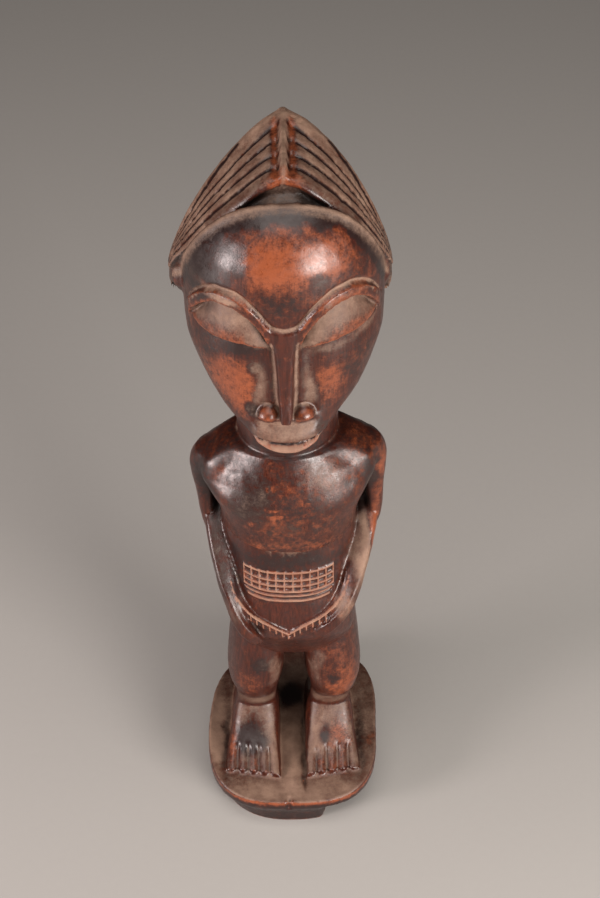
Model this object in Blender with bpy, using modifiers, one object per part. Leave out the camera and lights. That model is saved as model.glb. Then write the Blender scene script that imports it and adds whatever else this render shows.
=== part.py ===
"""A standing ancestor figure, carved with its plinth from one block of dense hardwood.

The frame is +Z up with the figure facing -Y. The origin is on the plinth's flat underside, on the
figure's own axis. Blank forms are lofted, fused into one solid, and then carved in relief.
"""

import bmesh
import bpy
import numpy as np

# Driving sizes, in metres
BODY_HEIGHT = 0.284  # from the plinth's top to the top of the hair
PLINTH_HEIGHT = 0.016
PLINTH_WIDTH = 0.068
PLINTH_SQUARENESS = 3.0  # 2 would be an oval, and more is squarer
PLINTH_FOOT_SQUARENESS = 2.45  # the same for its foot
PLINTH_SKEW = 0.06  # how fast the plinth's back half runs off to one side
PLINTH_FRONT = 0.0383  # from the figure's axis to the front lip
PLINTH_BACK = 0.0420  # from the figure's axis to the back lip
PLINTH_LIP = 0.0050  # thickness of the overhanging lip
PLINTH_UNDERCUT = 0.0036  # how far the foot of the plinth stands in under the lip
# The foot of the plinth is broken away at the front right, between these shares of its half width
BREAK_START = 0.30
BREAK_END = 1.0
BREAK_DEPTH = 0.0065  # how far the break goes in
NOTCH_AT = -0.0016  # a small chip in the front lip
NOTCH_HALF = 0.0009  # half the chip's width
NOTCH_DEPTH = 0.0012
DISH_RISE = 0.0016  # how far the plinth's sides rise above its middle

# Resolution of the solid
VOXEL = 0.00105
TRIANGLES = 9600  # the most faces that it keeps

# The body is drawn in units, 284 of them from the plinth's top to the top of the hair
BODY_UNITS = 284.0
UNIT = BODY_HEIGHT / BODY_UNITS

# Horizontal sections of the head: height, half width, reach forward, reach back, squareness
HEAD = [
    (180.0, 4.0, 25.0, 14.0, 2.2),
    (182.5, 9.0, 29.5, 16.5, 2.4),
    (187.0, 14.3, 32.0, 17.5, 2.6),
    (191.0, 18.0, 32.6, 18.0, 2.6),
    (196.0, 22.3, 32.0, 20.0, 2.5),
    (203.0, 27.0, 31.0, 23.0, 2.35),
    (211.0, 30.0, 30.8, 26.0, 2.25),
    (220.0, 32.3, 31.2, 29.0, 2.2),
    (230.0, 32.6, 31.8, 31.5, 2.2),
    (240.0, 32.8, 33.2, 33.0, 2.2),
    (250.0, 32.5, 35.0, 33.0, 2.15),
    (259.0, 31.0, 34.8, 31.0, 2.1),
    (267.0, 28.0, 32.4, 27.5, 2.05),
    (273.0, 23.5, 28.8, 23.0, 2.0),
    (277.0, 18.0, 23.5, 18.0, 2.0),
    (279.5, 11.0, 15.5, 11.0, 2.0),
    (280.3, 3.0, 6.0, 3.0, 2.0),
]

# Horizontal sections of the trunk, from the crotch to the root of the neck, as for the head
TRUNK = [
    (54.5, 13.0, 4.0, 8.0, 2.2),
    (58.0, 17.0, 9.5, 14.0, 2.3),
    (62.0, 20.0, 13.0, 18.0, 2.4),
    (68.0, 22.6, 16.8, 21.5, 2.5),
    (76.0, 23.4, 21.0, 24.0, 2.7),
    (84.0, 22.4, 24.4, 24.5, 2.9),
    (91.0, 22.8, 25.0, 22.0, 2.8),
    (99.0, 22.4, 24.2, 19.5, 2.8),
    (108.0, 22.6, 22.0, 17.5, 2.8),
    (118.0, 23.2, 20.4, 16.5, 2.8),
    (124.0, 24.0, 20.2, 16.8, 2.7),
    (128.0, 24.2, 20.8, 17.0, 2.5),
    (131.0, 24.4, 21.6, 17.5, 2.4),
    (138.0, 25.4, 22.8, 18.5, 2.5),
    (146.0, 28.2, 23.0, 20.0, 2.6),
    (154.0, 31.0, 22.0, 20.5, 2.7),
    (160.0, 30.3, 20.2, 14.2, 2.5),
    (164.0, 26.7, 18.8, 12.2, 2.2),
    (167.0, 21.9, 18.0, 12.3, 2.1),
    (168.6, 18.6, 17.6, 13.5, 2.0),
]

NECK = [
    (158.0, 17.8, 17.0, 17.0, 2.0),
    (170.0, 17.6, 16.8, 16.8, 2.0),
    (192.0, 17.0, 16.0, 16.5, 2.0),
]

# Sections of an upper arm, with the place of its middle: height, half width, reach forward,
# reach back, squareness, middle out to the side, middle back
UPPER_ARM = [
    (163.0, 4.0, 4.5, 4.0, 2.0, 24.0, 0.0),
    (160.0, 7.0, 6.5, 7.5, 2.0, 25.5, 0.0),
    (154.0, 8.0, 6.0, 10.0, 2.1, 26.6, 1.0),
    (147.0, 6.6, 4.5, 10.5, 2.2, 27.9, 1.5),
    (139.0, 4.0, 4.0, 9.5, 2.4, 29.6, 2.5),
    (130.0, 3.2, 4.5, 8.5, 2.5, 29.5, 3.0),
    (123.0, 3.3, 4.5, 8.0, 2.5, 28.6, 2.5),
    (117.0, 3.0, 3.0, 6.0, 2.3, 27.4, 1.0),
]

ELBOW_OUT = 1.5  # how much further out the figure's left elbow is
ELBOW_HEIGHT = 125.0

# A back plate that fills the space between an arm and the trunk from behind
SHOULDER_PLATE = [
    (156.0, 6.0, -6.0, 10.5, 2.2, 20.0, 0.0),
    (149.0, 9.5, -5.0, 15.0, 2.2, 20.5, 0.0),
    (138.0, 9.5, -5.0, 14.5, 2.2, 20.0, 0.0),
    (126.0, 9.0, -4.0, 12.5, 2.2, 19.0, 0.0),
    (116.0, 7.5, -3.0, 11.0, 2.2, 18.0, 0.0),
]

# A forearm's middle line and thickness: out to the side, forward, height, half width, half depth
FOREARM = [
    (27.4, -4.0, 125.6, 4.0, 3.2),
    (26.4, 2.0, 122.0, 4.0, 3.2),
    (25.4, 7.2, 116.2, 3.8, 3.2),
    (24.4, 11.8, 111.2, 3.4, 3.1),
    (23.4, 16.0, 106.6, 3.0, 3.0),
    (21.4, 20.2, 101.2, 2.6, 2.8),
    (18.4, 23.2, 94.6, 2.5, 2.7),
    (14.4, 24.4, 88.4, 2.4, 2.6),
    (10.6, 24.0, 83.2, 1.3, 2.0),
]
HANDS_SHIFT = -1.7  # how far to one side both hands lie
HANDS_TILT = 2.0  # how much higher one hand lies than the middle of the two

# Wood left between a forearm and the belly
CORE_INSET = 3.6  # how far inside the forearm's own line it runs
CORE_HALF = 2.8  # half its thickness

# The fingers, cut as one notched band in a V on the belly: out to the side, height of its rim,
# and how far forward it lies at least
FINGERS = [
    (0.0, 87.6, 25.0),
    (4.4, 90.8, 25.0),
    (8.6, 93.4, 24.6),
    (12.8, 95.9, 23.6),
    (16.2, 99.0, 22.2),
    (19.0, 102.6, 20.4),
    (20.6, 106.0, 18.4),
    (21.6, 110.0, 15.6),
    (22.4, 115.0, 11.0),
]
FINGERS_MIDDLE = -1.3  # the V's tip is a little to one side
FINGERS_PROUD = 1.5  # how far the band stands out of the belly
FINGERS_HALF = 1.7  # half the band's height

# Sections of a leg, as for an upper arm
LEG = [
    (87.0, 8.5, 8.0, 16.0, 2.2, 12.5, 0.0),
    (76.0, 10.2, 12.5, 19.0, 2.2, 13.2, 0.0),
    (66.0, 10.5, 15.0, 17.5, 2.3, 13.7, 0.0),
    (56.0, 10.9, 16.4, 16.0, 2.3, 14.3, 0.0),
    (46.0, 11.0, 16.6, 15.5, 2.3, 14.9, 0.0),
    (39.0, 10.1, 15.2, 17.0, 2.2, 15.2, 0.0),
    (33.0, 9.0, 11.5, 18.4, 2.2, 15.0, 0.0),
    (27.0, 8.1, 7.0, 18.8, 2.2, 14.8, 0.0),
    (21.0, 7.7, 4.5, 17.8, 2.2, 14.6, 0.0),
    (14.0, 7.9, 4.0, 16.4, 2.2, 14.6, 0.0),
    (6.0, 8.2, 5.0, 17.0, 2.2, 14.6, 0.0),
]

# Upright sections of a foot, heel to toe: forward, middle out to the side, half width, height
FOOT = [
    (-26.0, 14.5, 5.0, 4.0),
    (-23.5, 14.5, 8.0, 8.0),
    (-14.0, 14.6, 9.4, 11.5),
    (-5.0, 14.7, 9.6, 19.0),
    (1.0, 14.8, 9.8, 22.0),
    (5.0, 15.0, 9.9, 18.8),
    (10.0, 15.3, 10.2, 13.0),
    (16.0, 15.6, 10.6, 8.2),
    (22.0, 15.8, 10.9, 4.6),
    (26.0, 15.8, 10.9, 2.6),
]
TOE_SLANT = 0.15  # how fast the toes fall back towards the outer side
TOES = 5
TOE_INNER = 5.0  # where the big toe starts, out to the side
TOES_WIDTH = 21.6
TOE_GROOVE = 1.4  # depth of the grooves between toes
TOE_GROOVE_HALF = 0.23  # half their width, in toes

# Edges across the face: out to the side, height
BROW_TOP = [
    (0.0, 237.4),
    (3.5, 238.2),
    (8.0, 245.2),
    (12.0, 249.4),
    (16.0, 251.4),
    (20.0, 251.5),
    (24.0, 249.4),
    (28.0, 243.8),
    (31.0, 235.0),
]
BROW_LOW = [
    (0.0, 226.4),
    (4.0, 229.9),
    (7.5, 238.1),
    (12.0, 244.5),
    (16.0, 247.0),
    (20.0, 247.4),
    (24.0, 244.5),
    (28.0, 237.6),
    (31.0, 228.0),
]
LID_LOW = [
    (0.0, 228.2),
    (5.0, 228.5),
    (12.0, 230.6),
    (18.0, 231.3),
    (23.0, 231.0),
    (27.0, 231.4),
    (31.0, 233.8),
]
EYE_TILT = 0.035  # the two eyes aren't quite level
BROW_PROUD = 1.3  # how far the brow's band stands out
BROW_GROOVE = 0.7  # depth of the line along the band's upper edge
SOCKET_DEPTH = 2.9  # depth of the eye's hollow just under the brow
SOCKET_CORNER = 1.6  # how much deeper the hollow is beside the nose
LID_PROUD = 1.2  # how far the lid's lower edge stands out
LID_STEP = 1.2  # depth of the cheek under the lid's edge
# The nose's ridge: height, half width, how far it stands out
NOSE = [
    (197.0, 1.4, 4.4),
    (201.0, 1.5, 4.4),
    (206.0, 1.8, 4.0),
    (220.0, 2.3, 2.9),
    (232.0, 2.8, 2.0),
    (240.0, 3.6, 1.4),
]
NOSE_LOW = 199.6
NOSE_GROOVE = 0.6  # depth of the grooves beside the nose
WING_OUT = 5.9  # the middle of the nose's small wings, out to the side
WING_UP = 200.8
WING_HALF = (3.4, 3.2)  # half their width and height
WING_PROUD = 2.7
MOUTH_LINE = 189.6  # height of the line between the lips
MOUTH_BOW = 0.010  # how fast that line rises to its corners
MOUTH_HALF = 11.6
LIP_PROUD = 1.9
CHEST_LOW = 124.2  # height of the chest's lower edge in the middle
CHEST_BOW = 0.010  # how fast that edge rises to the sides
CHEST_STEP = 1.7  # how far the chest stands out over the belly
CHEST_FALL = 0.15  # how fast the two flats of the upper chest fall back from its middle
CHEST_KEEL = 8.0  # how broadly they are rounded into each other
NECK_FOOT = 168.8  # height of the ring where the neck rises out of the shoulders
NECK_GROOVE = 0.6

# Nothing is quite in line: height, shift to the side
LEAN = [
    (4.0, 0.0),
    (16.0, 0.4),
    (34.0, 1.1),
    (74.0, 1.1),
    (96.0, 0.0),
    (180.0, 0.0),
    (190.0, -0.3),
    (196.0, -0.7),
    (204.0, -0.3),
    (212.0, -0.4),
    (252.0, -0.6),
    (274.0, 0.0),
]

SHOULDER_TILT = 0.055  # one shoulder is higher than the other
SHOULDER_HEIGHT = 158.0

# Sections of the swelling at a temple, as for an upper arm, but with the middle's place given
# inward from the end of the hair
TEMPLE = [
    (227.5, 0.8, 2.0, 3.0, 2.0, 4.6, 2.0),
    (231.0, 2.4, 4.5, 7.0, 2.0, 4.4, 1.0),
    (236.0, 3.8, 6.5, 9.0, 2.0, 4.2, 0.0),
    (241.0, 3.6, 6.0, 9.0, 2.0, 4.2, 0.0),
    (246.0, 0.8, 2.0, 4.0, 2.0, 4.6, 0.0),
]

# The hair turns about a line through the temples: forward and up from the figure's axis
TEMPLE_FORWARD = 3.0
TEMPLE_HEIGHT = 238.0
HAIR_LEFT = 36.8
HAIR_RIGHT = 35.0
HAIR_HUB = 3.5  # the hair's distance from the temple line at its two ends
# How the hair falls away from its crest to its ends: power of the way out, power of what is left
HAIR_LEFT_ROUND = (1.40, 0.77)
HAIR_RIGHT_ROUND = (1.5, 0.73)
HAIR_DEPTH = 14.0  # thickness of the hair's blank
HAIR_NAPE = 214.0  # angle of the hair's lower edge at the back
HAIR_LOBE = 34.0  # how much further round the hair goes at the temples
HAIR_FULLNESS = 0.4  # how much fuller the hair is at the back than in front
HAIRLINE = 60.0  # angle of the hairline at the temples
HAIRLINE_RISE = 5.5  # how much higher it is over the forehead
HAIRLINE_HALF = 30.0  # where it comes down to the temples' angle, out to the side
HAIRLINE_GAP = 1.2  # the least angle from the hairline to the hair
VISOR_RISE = 13.3  # how far the visor's peak stands above the temples' angle
VISOR_HALF = 33.0
HAIR_RECESS = 3.4  # depth of the hollow between the forehead and the visor
RECESS_ROUND = 7.0
FILLET_RISE = 0.7  # the raised line along the hairline
FILLET_HALF = 1.3
RIB_ANGLE = 9.0  # the angle that a rib takes up
RIB_DEPTH = 1.5
RIB_BLUNTNESS = 2.6  # more is flatter on top with narrower grooves
FIN_HALF = 1.2  # the thin fin along the crest
FIN_RISE = 0.5
BAND_ANGLE = 112.0  # the band that crosses the crown
BAND_RISE = 0.7
# Profile of the hair's ridge: angle up from straight ahead, distance from the temple line
RIDGE = [
    (58.0, 44.5),
    (73.0, 48.2),
    (90.0, 46.2),
    (105.0, 47.6),
    (117.0, 51.0),
    (127.0, 50.6),
    (140.0, 48.2),
    (157.0, 44.0),
    (180.0, 40.0),
    (200.0, 38.6),
    (216.0, 39.5),
]


def glide(keys, at):
    """The columns of keys at the places in at, on smooth curves that never overshoot a key."""
    table = np.array(sorted(keys), float)
    place, values = table[:, 0], table[:, 1:]
    at = np.clip(np.asarray(at, float), place[0], place[-1])
    gap = np.diff(place)[:, None]
    slope = np.diff(values, axis=0) / gap
    before, after = slope[:-1], slope[1:]
    same_way = before * after > 0
    total = np.where(same_way, before + after, 1.0)
    inner = np.where(same_way, 2.0 * before * after / total, 0.0)
    tangent = np.vstack([slope[:1], inner, slope[-1:]])
    index = np.clip(np.searchsorted(place, at, side="right") - 1, 0, len(place) - 2)
    width = gap[index]
    t = ((at - place[index]) / gap[index, 0])[:, None]
    return (
        (2 * t**3 - 3 * t**2 + 1) * values[index]
        + (t**3 - 2 * t**2 + t) * width * tangent[index]
        + (3 * t**2 - 2 * t**3) * values[index + 1]
        + (t**3 - t**2) * width * tangent[index + 1]
    )


def ramp(start, end, value):
    """0 at start, 1 at end, and smooth between them."""
    t = np.clip((value - start) / (end - start), 0.0, 1.0)
    return t * t * (3 - 2 * t)


def swell(value, middle, width):
    """A smooth bump, 1 at middle and nearly 0 at twice width from it."""
    return np.exp(-(((value - middle) / width) ** 2))


def signed_power(value, power):
    return np.sign(value) * np.abs(value) ** power


def section(half_width, front, back, squareness, count=72):
    """A closed oval in the horizontal plane, with its own reach to the front and to the back."""
    angle = np.linspace(0.0, 2.0 * np.pi, count, endpoint=False)
    x = half_width * signed_power(np.cos(angle), 2.0 / squareness)
    y = signed_power(np.sin(angle), 2.0 / squareness)
    return x, np.where(y < 0, y * front, y * back)


def loft(name, rings):
    """A closed mesh over rings of as many points each, capped at both ends."""
    rings = np.asarray(rings, float)
    count = rings.shape[1]
    bm = bmesh.new()
    rows = [[bm.verts.new(point) for point in ring] for ring in rings]
    for low, high in zip(rows, rows[1:]):
        for i in range(count):
            j = (i + 1) % count
            bm.faces.new((low[i], low[j], high[j], high[i]))
    bm.faces.new(rows[0][::-1])
    bm.faces.new(rows[-1])
    bmesh.ops.recalc_face_normals(bm, faces=bm.faces)
    mesh = bpy.data.meshes.new(name)
    bm.to_mesh(mesh)
    bm.free()
    blank = bpy.data.objects.new(name, mesh)
    bpy.context.scene.collection.objects.link(blank)
    return blank


def body_point(x, y, height):
    """A point given in body units, in metres."""
    return np.stack(
        [x * UNIT, y * UNIT, PLINTH_HEIGHT + np.asarray(height) * UNIT], axis=-1
    )


def body_units(points):
    """Points in metres as places across, forward and up in body units."""
    height = (points[:, 2] - PLINTH_HEIGHT) / UNIT
    return points[:, 0] / UNIT, -points[:, 1] / UNIT, height


def stack(name, keys, side=1.0, step=1.5, count=72):
    """A loft through horizontal sections, each given by a row of keys."""
    low, high = min(k[0] for k in keys), max(k[0] for k in keys)
    heights = np.linspace(low, high, int((high - low) / step) + 2)
    rings = []
    for height, row in zip(heights, glide(keys, heights)):
        x, y = section(*row[:4], count=count)
        middle_x, middle_y = row[4:6] if len(row) > 4 else (0.0, 0.0)
        rings.append(
            body_point((x + middle_x) * side, y + middle_y, np.full(len(x), height))
        )
    return loft(name, rings)


def trunk_front(x, height):
    """How far forward the trunk's surface reaches at a place across it."""
    rows = glide(TRUNK, np.atleast_1d(height))
    share = np.clip(np.abs(x) / rows[:, 0], 0.0, 0.995)
    return rows[:, 1] * (1 - share ** rows[:, 3]) ** (1 / rows[:, 3])


def tube(name, middles, half_sizes, squareness=2.4, count=40):
    """A loft of oval sections square to a middle line. half_sizes are across and up the line."""
    middles = np.asarray(middles, float)
    along = np.gradient(middles, axis=0)
    along /= np.linalg.norm(along, axis=1)[:, None]
    across = np.cross(along, [0.0, 0.0, 1.0])
    across /= np.linalg.norm(across, axis=1)[:, None]
    up = np.cross(across, along)
    angle = np.linspace(0.0, 2.0 * np.pi, count, endpoint=False)
    c = signed_power(np.cos(angle), 2.0 / squareness)
    s = signed_power(np.sin(angle), 2.0 / squareness)
    rings = []
    for point, side_way, up_way, (half_across, half_up) in zip(
        middles, across, up, half_sizes
    ):
        oval = (
            point
            + c[:, None] * half_across * side_way
            + s[:, None] * half_up * up_way
        )
        rings.append(body_point(oval[:, 0], oval[:, 1], oval[:, 2]))
    return loft(name, rings)


def elbow_out(height, side):
    """How much further out an arm is on its own side."""
    return ELBOW_OUT * swell(height, ELBOW_HEIGHT, 14.0) * (side > 0)


def upper_arm(side):
    """The arm down to its elbow."""
    keys = [(*row[:5], row[5] + elbow_out(row[0], side), row[6]) for row in UPPER_ARM]
    return stack("upper_arm", keys, side)


def forearm(side):
    """A bent arm's lower half, from the elbow round the belly to the tip of the hand."""
    place = np.linspace(0.0, len(FOREARM) - 1.0, 40)
    keys = [(i, *row) for i, row in enumerate(FOREARM)]
    rows = glide(keys, place)
    out = rows[:, 0] + elbow_out(rows[:, 2], side)
    hand = 1 - ramp(FOREARM[-1][2], FOREARM[-4][2], rows[:, 2])
    x = out * side + HANDS_SHIFT * hand
    height = rows[:, 2] + HANDS_TILT * side * hand
    middles = np.stack([x, -rows[:, 1], height], axis=1)
    return tube("forearm", middles, rows[:, 3:5], 4.0)


def fingers():
    """The raised V across the belly, between the hands."""
    reach = max(row[0] for row in FINGERS)
    across = np.linspace(-reach, reach, 121)
    rim, least = glide(FINGERS, np.abs(across)).T
    height = rim - FINGERS_HALF
    x = across + FINGERS_MIDDLE * (1 - (across / reach) ** 2)
    forward = np.maximum(trunk_front(x, height), least) + FINGERS_PROUD - FINGERS_HALF
    middles = np.stack([x, -forward, height], axis=1)
    return tube("fingers", middles, [(FINGERS_HALF, FINGERS_HALF)] * len(x), 4.0)


def forearm_core(side):
    """Wood left between a forearm and the belly."""
    place = np.linspace(0.0, len(FOREARM) - 1.0, 40)
    keys = [(i, *row) for i, row in enumerate(FOREARM)]
    out, forward, height = glide(keys, place).T[:3]
    middles = np.stack(
        [(out - CORE_INSET) * side, -(forward - CORE_INSET), height], axis=1
    )
    return tube("forearm_core", middles, [(CORE_HALF, CORE_HALF)] * len(place))


def foot(side):
    """A flat foot, lofted from heel to toe."""
    forward = np.linspace(FOOT[0][0], FOOT[-1][0], 36)
    angle = np.linspace(0.0, 2.0 * np.pi, 40, endpoint=False)
    c = signed_power(np.cos(angle), 2.0 / 3.2)
    s = signed_power(np.sin(angle), 2.0 / 3.2)
    rings = []
    for reach, (middle, half, high) in zip(forward, glide(FOOT, forward)):
        x = middle + c * half
        slant = TOE_SLANT * (x - TOE_INNER) * ramp(-5.0, 25.0, reach)
        height = np.where(s > 0, s * high, s * 4.0)
        rings.append(body_point(x * side, -(reach - slant), height))
    return loft("foot", rings)


def hairline(x):
    """Angle of the hairline about the temple line, a little higher over the forehead."""
    return HAIRLINE + HAIRLINE_RISE * np.clip(1 - (x / HAIRLINE_HALF) ** 4, 0.0, 1.0)


def hair_edge(x):
    """Angle of the hair's front edge: a peaked visor in the middle, the hairline at the sides."""
    visor = HAIRLINE + VISOR_RISE * np.clip(1 - np.abs(x) / VISOR_HALF, 0.0, 1.0)
    return np.maximum(visor, hairline(x) + HAIRLINE_GAP)


def hair_surface(x, angle):
    """Distance of the hair's plain surface from the temple line."""
    across = np.abs(x) / np.where(x < 0, HAIR_LEFT, HAIR_RIGHT)
    power = np.where(x < 0, HAIR_LEFT_ROUND[0], HAIR_RIGHT_ROUND[0])
    fall = np.where(x < 0, HAIR_LEFT_ROUND[1], HAIR_RIGHT_ROUND[1])
    fall = fall * (1 - HAIR_FULLNESS * ramp(125.0, 190.0, angle))
    share = (1 - np.clip(across, 0.0, 1.0) ** power) ** fall
    ridge = glide(RIDGE, angle)[:, 0]
    return HAIR_HUB + (ridge - HAIR_HUB) * share


def swung(x, radius, angle):
    """A point at a distance from the temple line, at an angle up from straight ahead."""
    turn = np.radians(angle)
    forward = TEMPLE_FORWARD + radius * np.cos(turn)
    return body_point(x, -forward, TEMPLE_HEIGHT + radius * np.sin(turn))


def skull():
    """The head, drawn in under the hair behind a raised fillet along the hairline."""
    head = stack("head", HEAD, step=0.5, count=200)
    points = points_of(head.data)
    x, forward, height = body_units(points)
    angle = hair_angle(forward, height)
    radius = np.hypot(height - TEMPLE_HEIGHT, forward - TEMPLE_FORWARD)
    in_front = ramp(0.0, 4.0, forward) * ramp(6.0, 12.0, radius)
    past_line = np.radians(angle - hairline(x)) * radius
    fillet = FILLET_RISE * swell(past_line, -FILLET_HALF, FILLET_HALF) * in_front
    rounded = np.hypot(x, RECESS_ROUND)
    right_share = ramp(-RECESS_ROUND, RECESS_ROUND, x)
    gap = ramp(HAIRLINE_GAP, 3.5 * HAIRLINE_GAP, hair_edge(x) - hairline(x))
    under = (
        hair_surface(-rounded, angle) * (1 - right_share)
        + hair_surface(rounded, angle) * right_share
        - RIB_DEPTH
        - (HAIR_RECESS - RIB_DEPTH) * gap
    )
    behind = ramp(0.0, FILLET_HALF, past_line) * (
        1 - ramp(HAIR_NAPE - 6.0, HAIR_NAPE, angle)
    )
    radius_now = radius + fillet - behind * np.clip(radius + fillet - under, 0.0, None)
    set_points(head.data, swung(x, radius_now, angle))
    return head


def temple(side):
    """The swelling that the hair ends in at a temple."""
    reach = HAIR_LEFT if side < 0 else HAIR_RIGHT
    keys = [(*row[:5], reach - row[5], row[6]) for row in TEMPLE]
    return stack("temple", keys, side)


def rib_relief(turn):
    """Height of the ribs at turn, which counts ribs back from the front edge."""
    share = turn - np.floor(turn)
    return RIB_DEPTH * (1 - np.abs(2 * share - 1) ** RIB_BLUNTNESS)


def hair_relief(x, angle, away):
    """Ribs that die out at the temples, the crest's thin fin and the band across the crown."""
    turn = (angle - hair_edge(x)) / RIB_ANGLE
    ribs = (rib_relief(turn) - RIB_DEPTH) * ramp(0.0, 0.25, away)
    on_band = swell(angle, BAND_ANGLE, RIB_ANGLE * 0.35) * ramp(0.0, 0.2, away)
    ribs = ribs * (1 - on_band) + BAND_RISE * on_band
    on_fin = 1 - ramp(FIN_HALF * 0.6, FIN_HALF * 1.4, np.abs(x))
    return ribs * (1 - on_fin) + np.maximum(ribs, FIN_RISE) * on_fin


def hair():
    """The crested cap of ribbed hair, swung about the line through the temples."""
    across = np.sin(np.linspace(-np.pi / 2, np.pi / 2, 141))
    across = np.sort(np.concatenate([across, np.linspace(-0.06, 0.06, 24)]))
    x = across * np.where(across < 0, HAIR_LEFT, HAIR_RIGHT)
    away = 1 - np.abs(across)
    start = hair_edge(x)
    end = HAIR_NAPE + HAIR_LOBE * (1 - ramp(0.02, 0.16, away))
    rings = []
    for share in np.linspace(0.0, 1.0, 300):
        angle = start + share * (end - start)
        outer = hair_surface(x, angle) + hair_relief(x, angle, away)
        inner = np.maximum(outer - HAIR_DEPTH, 1.0)
        rings.append(
            np.vstack(
                [
                    swung(x, outer, angle),
                    swung(x[::-1] * 0.86, inner[::-1], angle[::-1]),
                ]
            )
        )
    return loft("hair", rings)


def plinth():
    """The rounded plinth: a foot, an overhanging lip and the top that the feet stand on."""
    half = PLINTH_WIDTH / 2
    lip_low = PLINTH_HEIGHT - PLINTH_LIP
    rows = [
        (-0.003, PLINTH_UNDERCUT),
        (0.0, PLINTH_UNDERCUT),
        (lip_low * 0.6, PLINTH_UNDERCUT * 0.8),
        (lip_low, PLINTH_UNDERCUT * 0.1),
        (lip_low + 0.0012, 0.0),
        (PLINTH_HEIGHT - 0.0004, 0.0),
        (PLINTH_HEIGHT, 0.0006),
    ]
    rings = []
    for height in np.linspace(rows[0][0], rows[-1][0], 24):
        inset = float(np.interp(height, *zip(*rows)))
        squareness = np.interp(
            height, [0.0, lip_low], [PLINTH_FOOT_SQUARENESS, PLINTH_SQUARENESS]
        )
        x, y = section(
            half - inset, PLINTH_FRONT - inset, PLINTH_BACK - inset, squareness, 160
        )
        share = (x / half - BREAK_START) / (BREAK_END - BREAK_START)
        in_break = ramp(0.0, 0.32, share) * (1 - ramp(0.8, 1.0, share)) * (y < 0)
        below = 1 - ramp(lip_low - 0.0012, lip_low + 0.0008, height)
        shrink = 1 - in_break * below * BREAK_DEPTH / np.hypot(x, y)
        skew = PLINTH_SKEW * np.clip(y, 0.0, None)
        rings.append(
            np.stack([x * shrink + skew, y * shrink, np.full(len(x), height)], axis=1)
        )
    return loft("plinth", rings)


def blanks():
    """Every form that the block is roughed out to."""
    made = [
        plinth(),
        stack("trunk", TRUNK),
        stack("neck", NECK),
        skull(),
        hair(),
        fingers(),
    ]
    for side in (-1.0, 1.0):
        made += [
            upper_arm(side),
            stack("shoulder_plate", SHOULDER_PLATE, side),
            forearm(side),
            forearm_core(side),
            temple(side),
            stack("leg", LEG, side),
            foot(side),
        ]
    return made


def fused(pieces, voxel):
    """One mesh over the union of the pieces."""
    bm = bmesh.new()
    for piece in pieces:
        bm.from_mesh(piece.data)
        bpy.data.objects.remove(piece)
    mesh = bpy.data.meshes.new("figure")
    bm.to_mesh(mesh)
    bm.free()
    figure = bpy.data.objects.new("figure", mesh)
    bpy.context.scene.collection.objects.link(figure)
    remesh = figure.modifiers.new("Fuse", "REMESH")
    remesh.mode = "VOXEL"
    remesh.voxel_size = voxel
    settle(figure)
    return figure


def settle(figure):
    """Applies the modifiers of an object."""
    seen = figure.evaluated_get(bpy.context.evaluated_depsgraph_get())
    mesh = bpy.data.meshes.new_from_object(seen)
    figure.modifiers.clear()
    figure.data = mesh


def points_of(mesh):
    points = np.zeros(len(mesh.vertices) * 3, np.float32)
    mesh.vertices.foreach_get("co", points)
    return points.reshape(-1, 3).astype(float)


def set_points(mesh, points):
    mesh.vertices.foreach_set("co", points.astype(np.float32).ravel())
    mesh.update()


def smoothed(mesh, points, rounds, weight=None):
    """The points drawn towards their neighbours, rounds times, keeping the form's volume."""
    edges = np.zeros(len(mesh.edges) * 2, np.int64)
    mesh.edges.foreach_get("vertices", edges)
    first, second = edges.reshape(-1, 2).T
    count = np.bincount(np.concatenate([first, second]), minlength=len(points))
    for turn in range(rounds * 2):
        pull = 0.5 if turn % 2 == 0 else -0.52
        mean = np.stack(
            [
                np.bincount(first, points[second, k], len(points))
                + np.bincount(second, points[first, k], len(points))
                for k in range(3)
            ],
            axis=1,
        ) / count[:, None]
        move = (mean - points) * pull
        points = points + (move if weight is None else move * weight[:, None])
    return points


def normals_of(mesh):
    normals = np.zeros(len(mesh.vertices) * 3, np.float32)
    mesh.vertex_normals.foreach_get("vector", normals)
    return normals.reshape(-1, 3).astype(float)


def eye_edges(x):
    """Heights of the brow's two edges and of the heavy lid's lower edge."""
    top, low, lid = [
        glide(keys, np.abs(x))[:, 0] for keys in (BROW_TOP, BROW_LOW, LID_LOW)
    ]
    tilt = EYE_TILT * x * ramp(8.0, 24.0, np.abs(x))
    return top + tilt, low + tilt, lid + tilt


def eye_relief(across, height, low, lid):
    """The socket under the brow, and the heavy lid that swells out of it to a crisp lower edge."""
    drop = np.clip((low - height) / np.maximum(low - lid, 0.5), 0.0, 1.0)
    fullness = 0.7 + 0.3 * swell(across, 17.0, 9.0)
    lid_swell = (SOCKET_DEPTH + LID_PROUD) * fullness * np.sin(drop * np.pi / 2) ** 1.1
    corner = SOCKET_CORNER * (1 - ramp(4.0, 10.0, across)) * drop
    return lid_swell - SOCKET_DEPTH - corner


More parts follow.
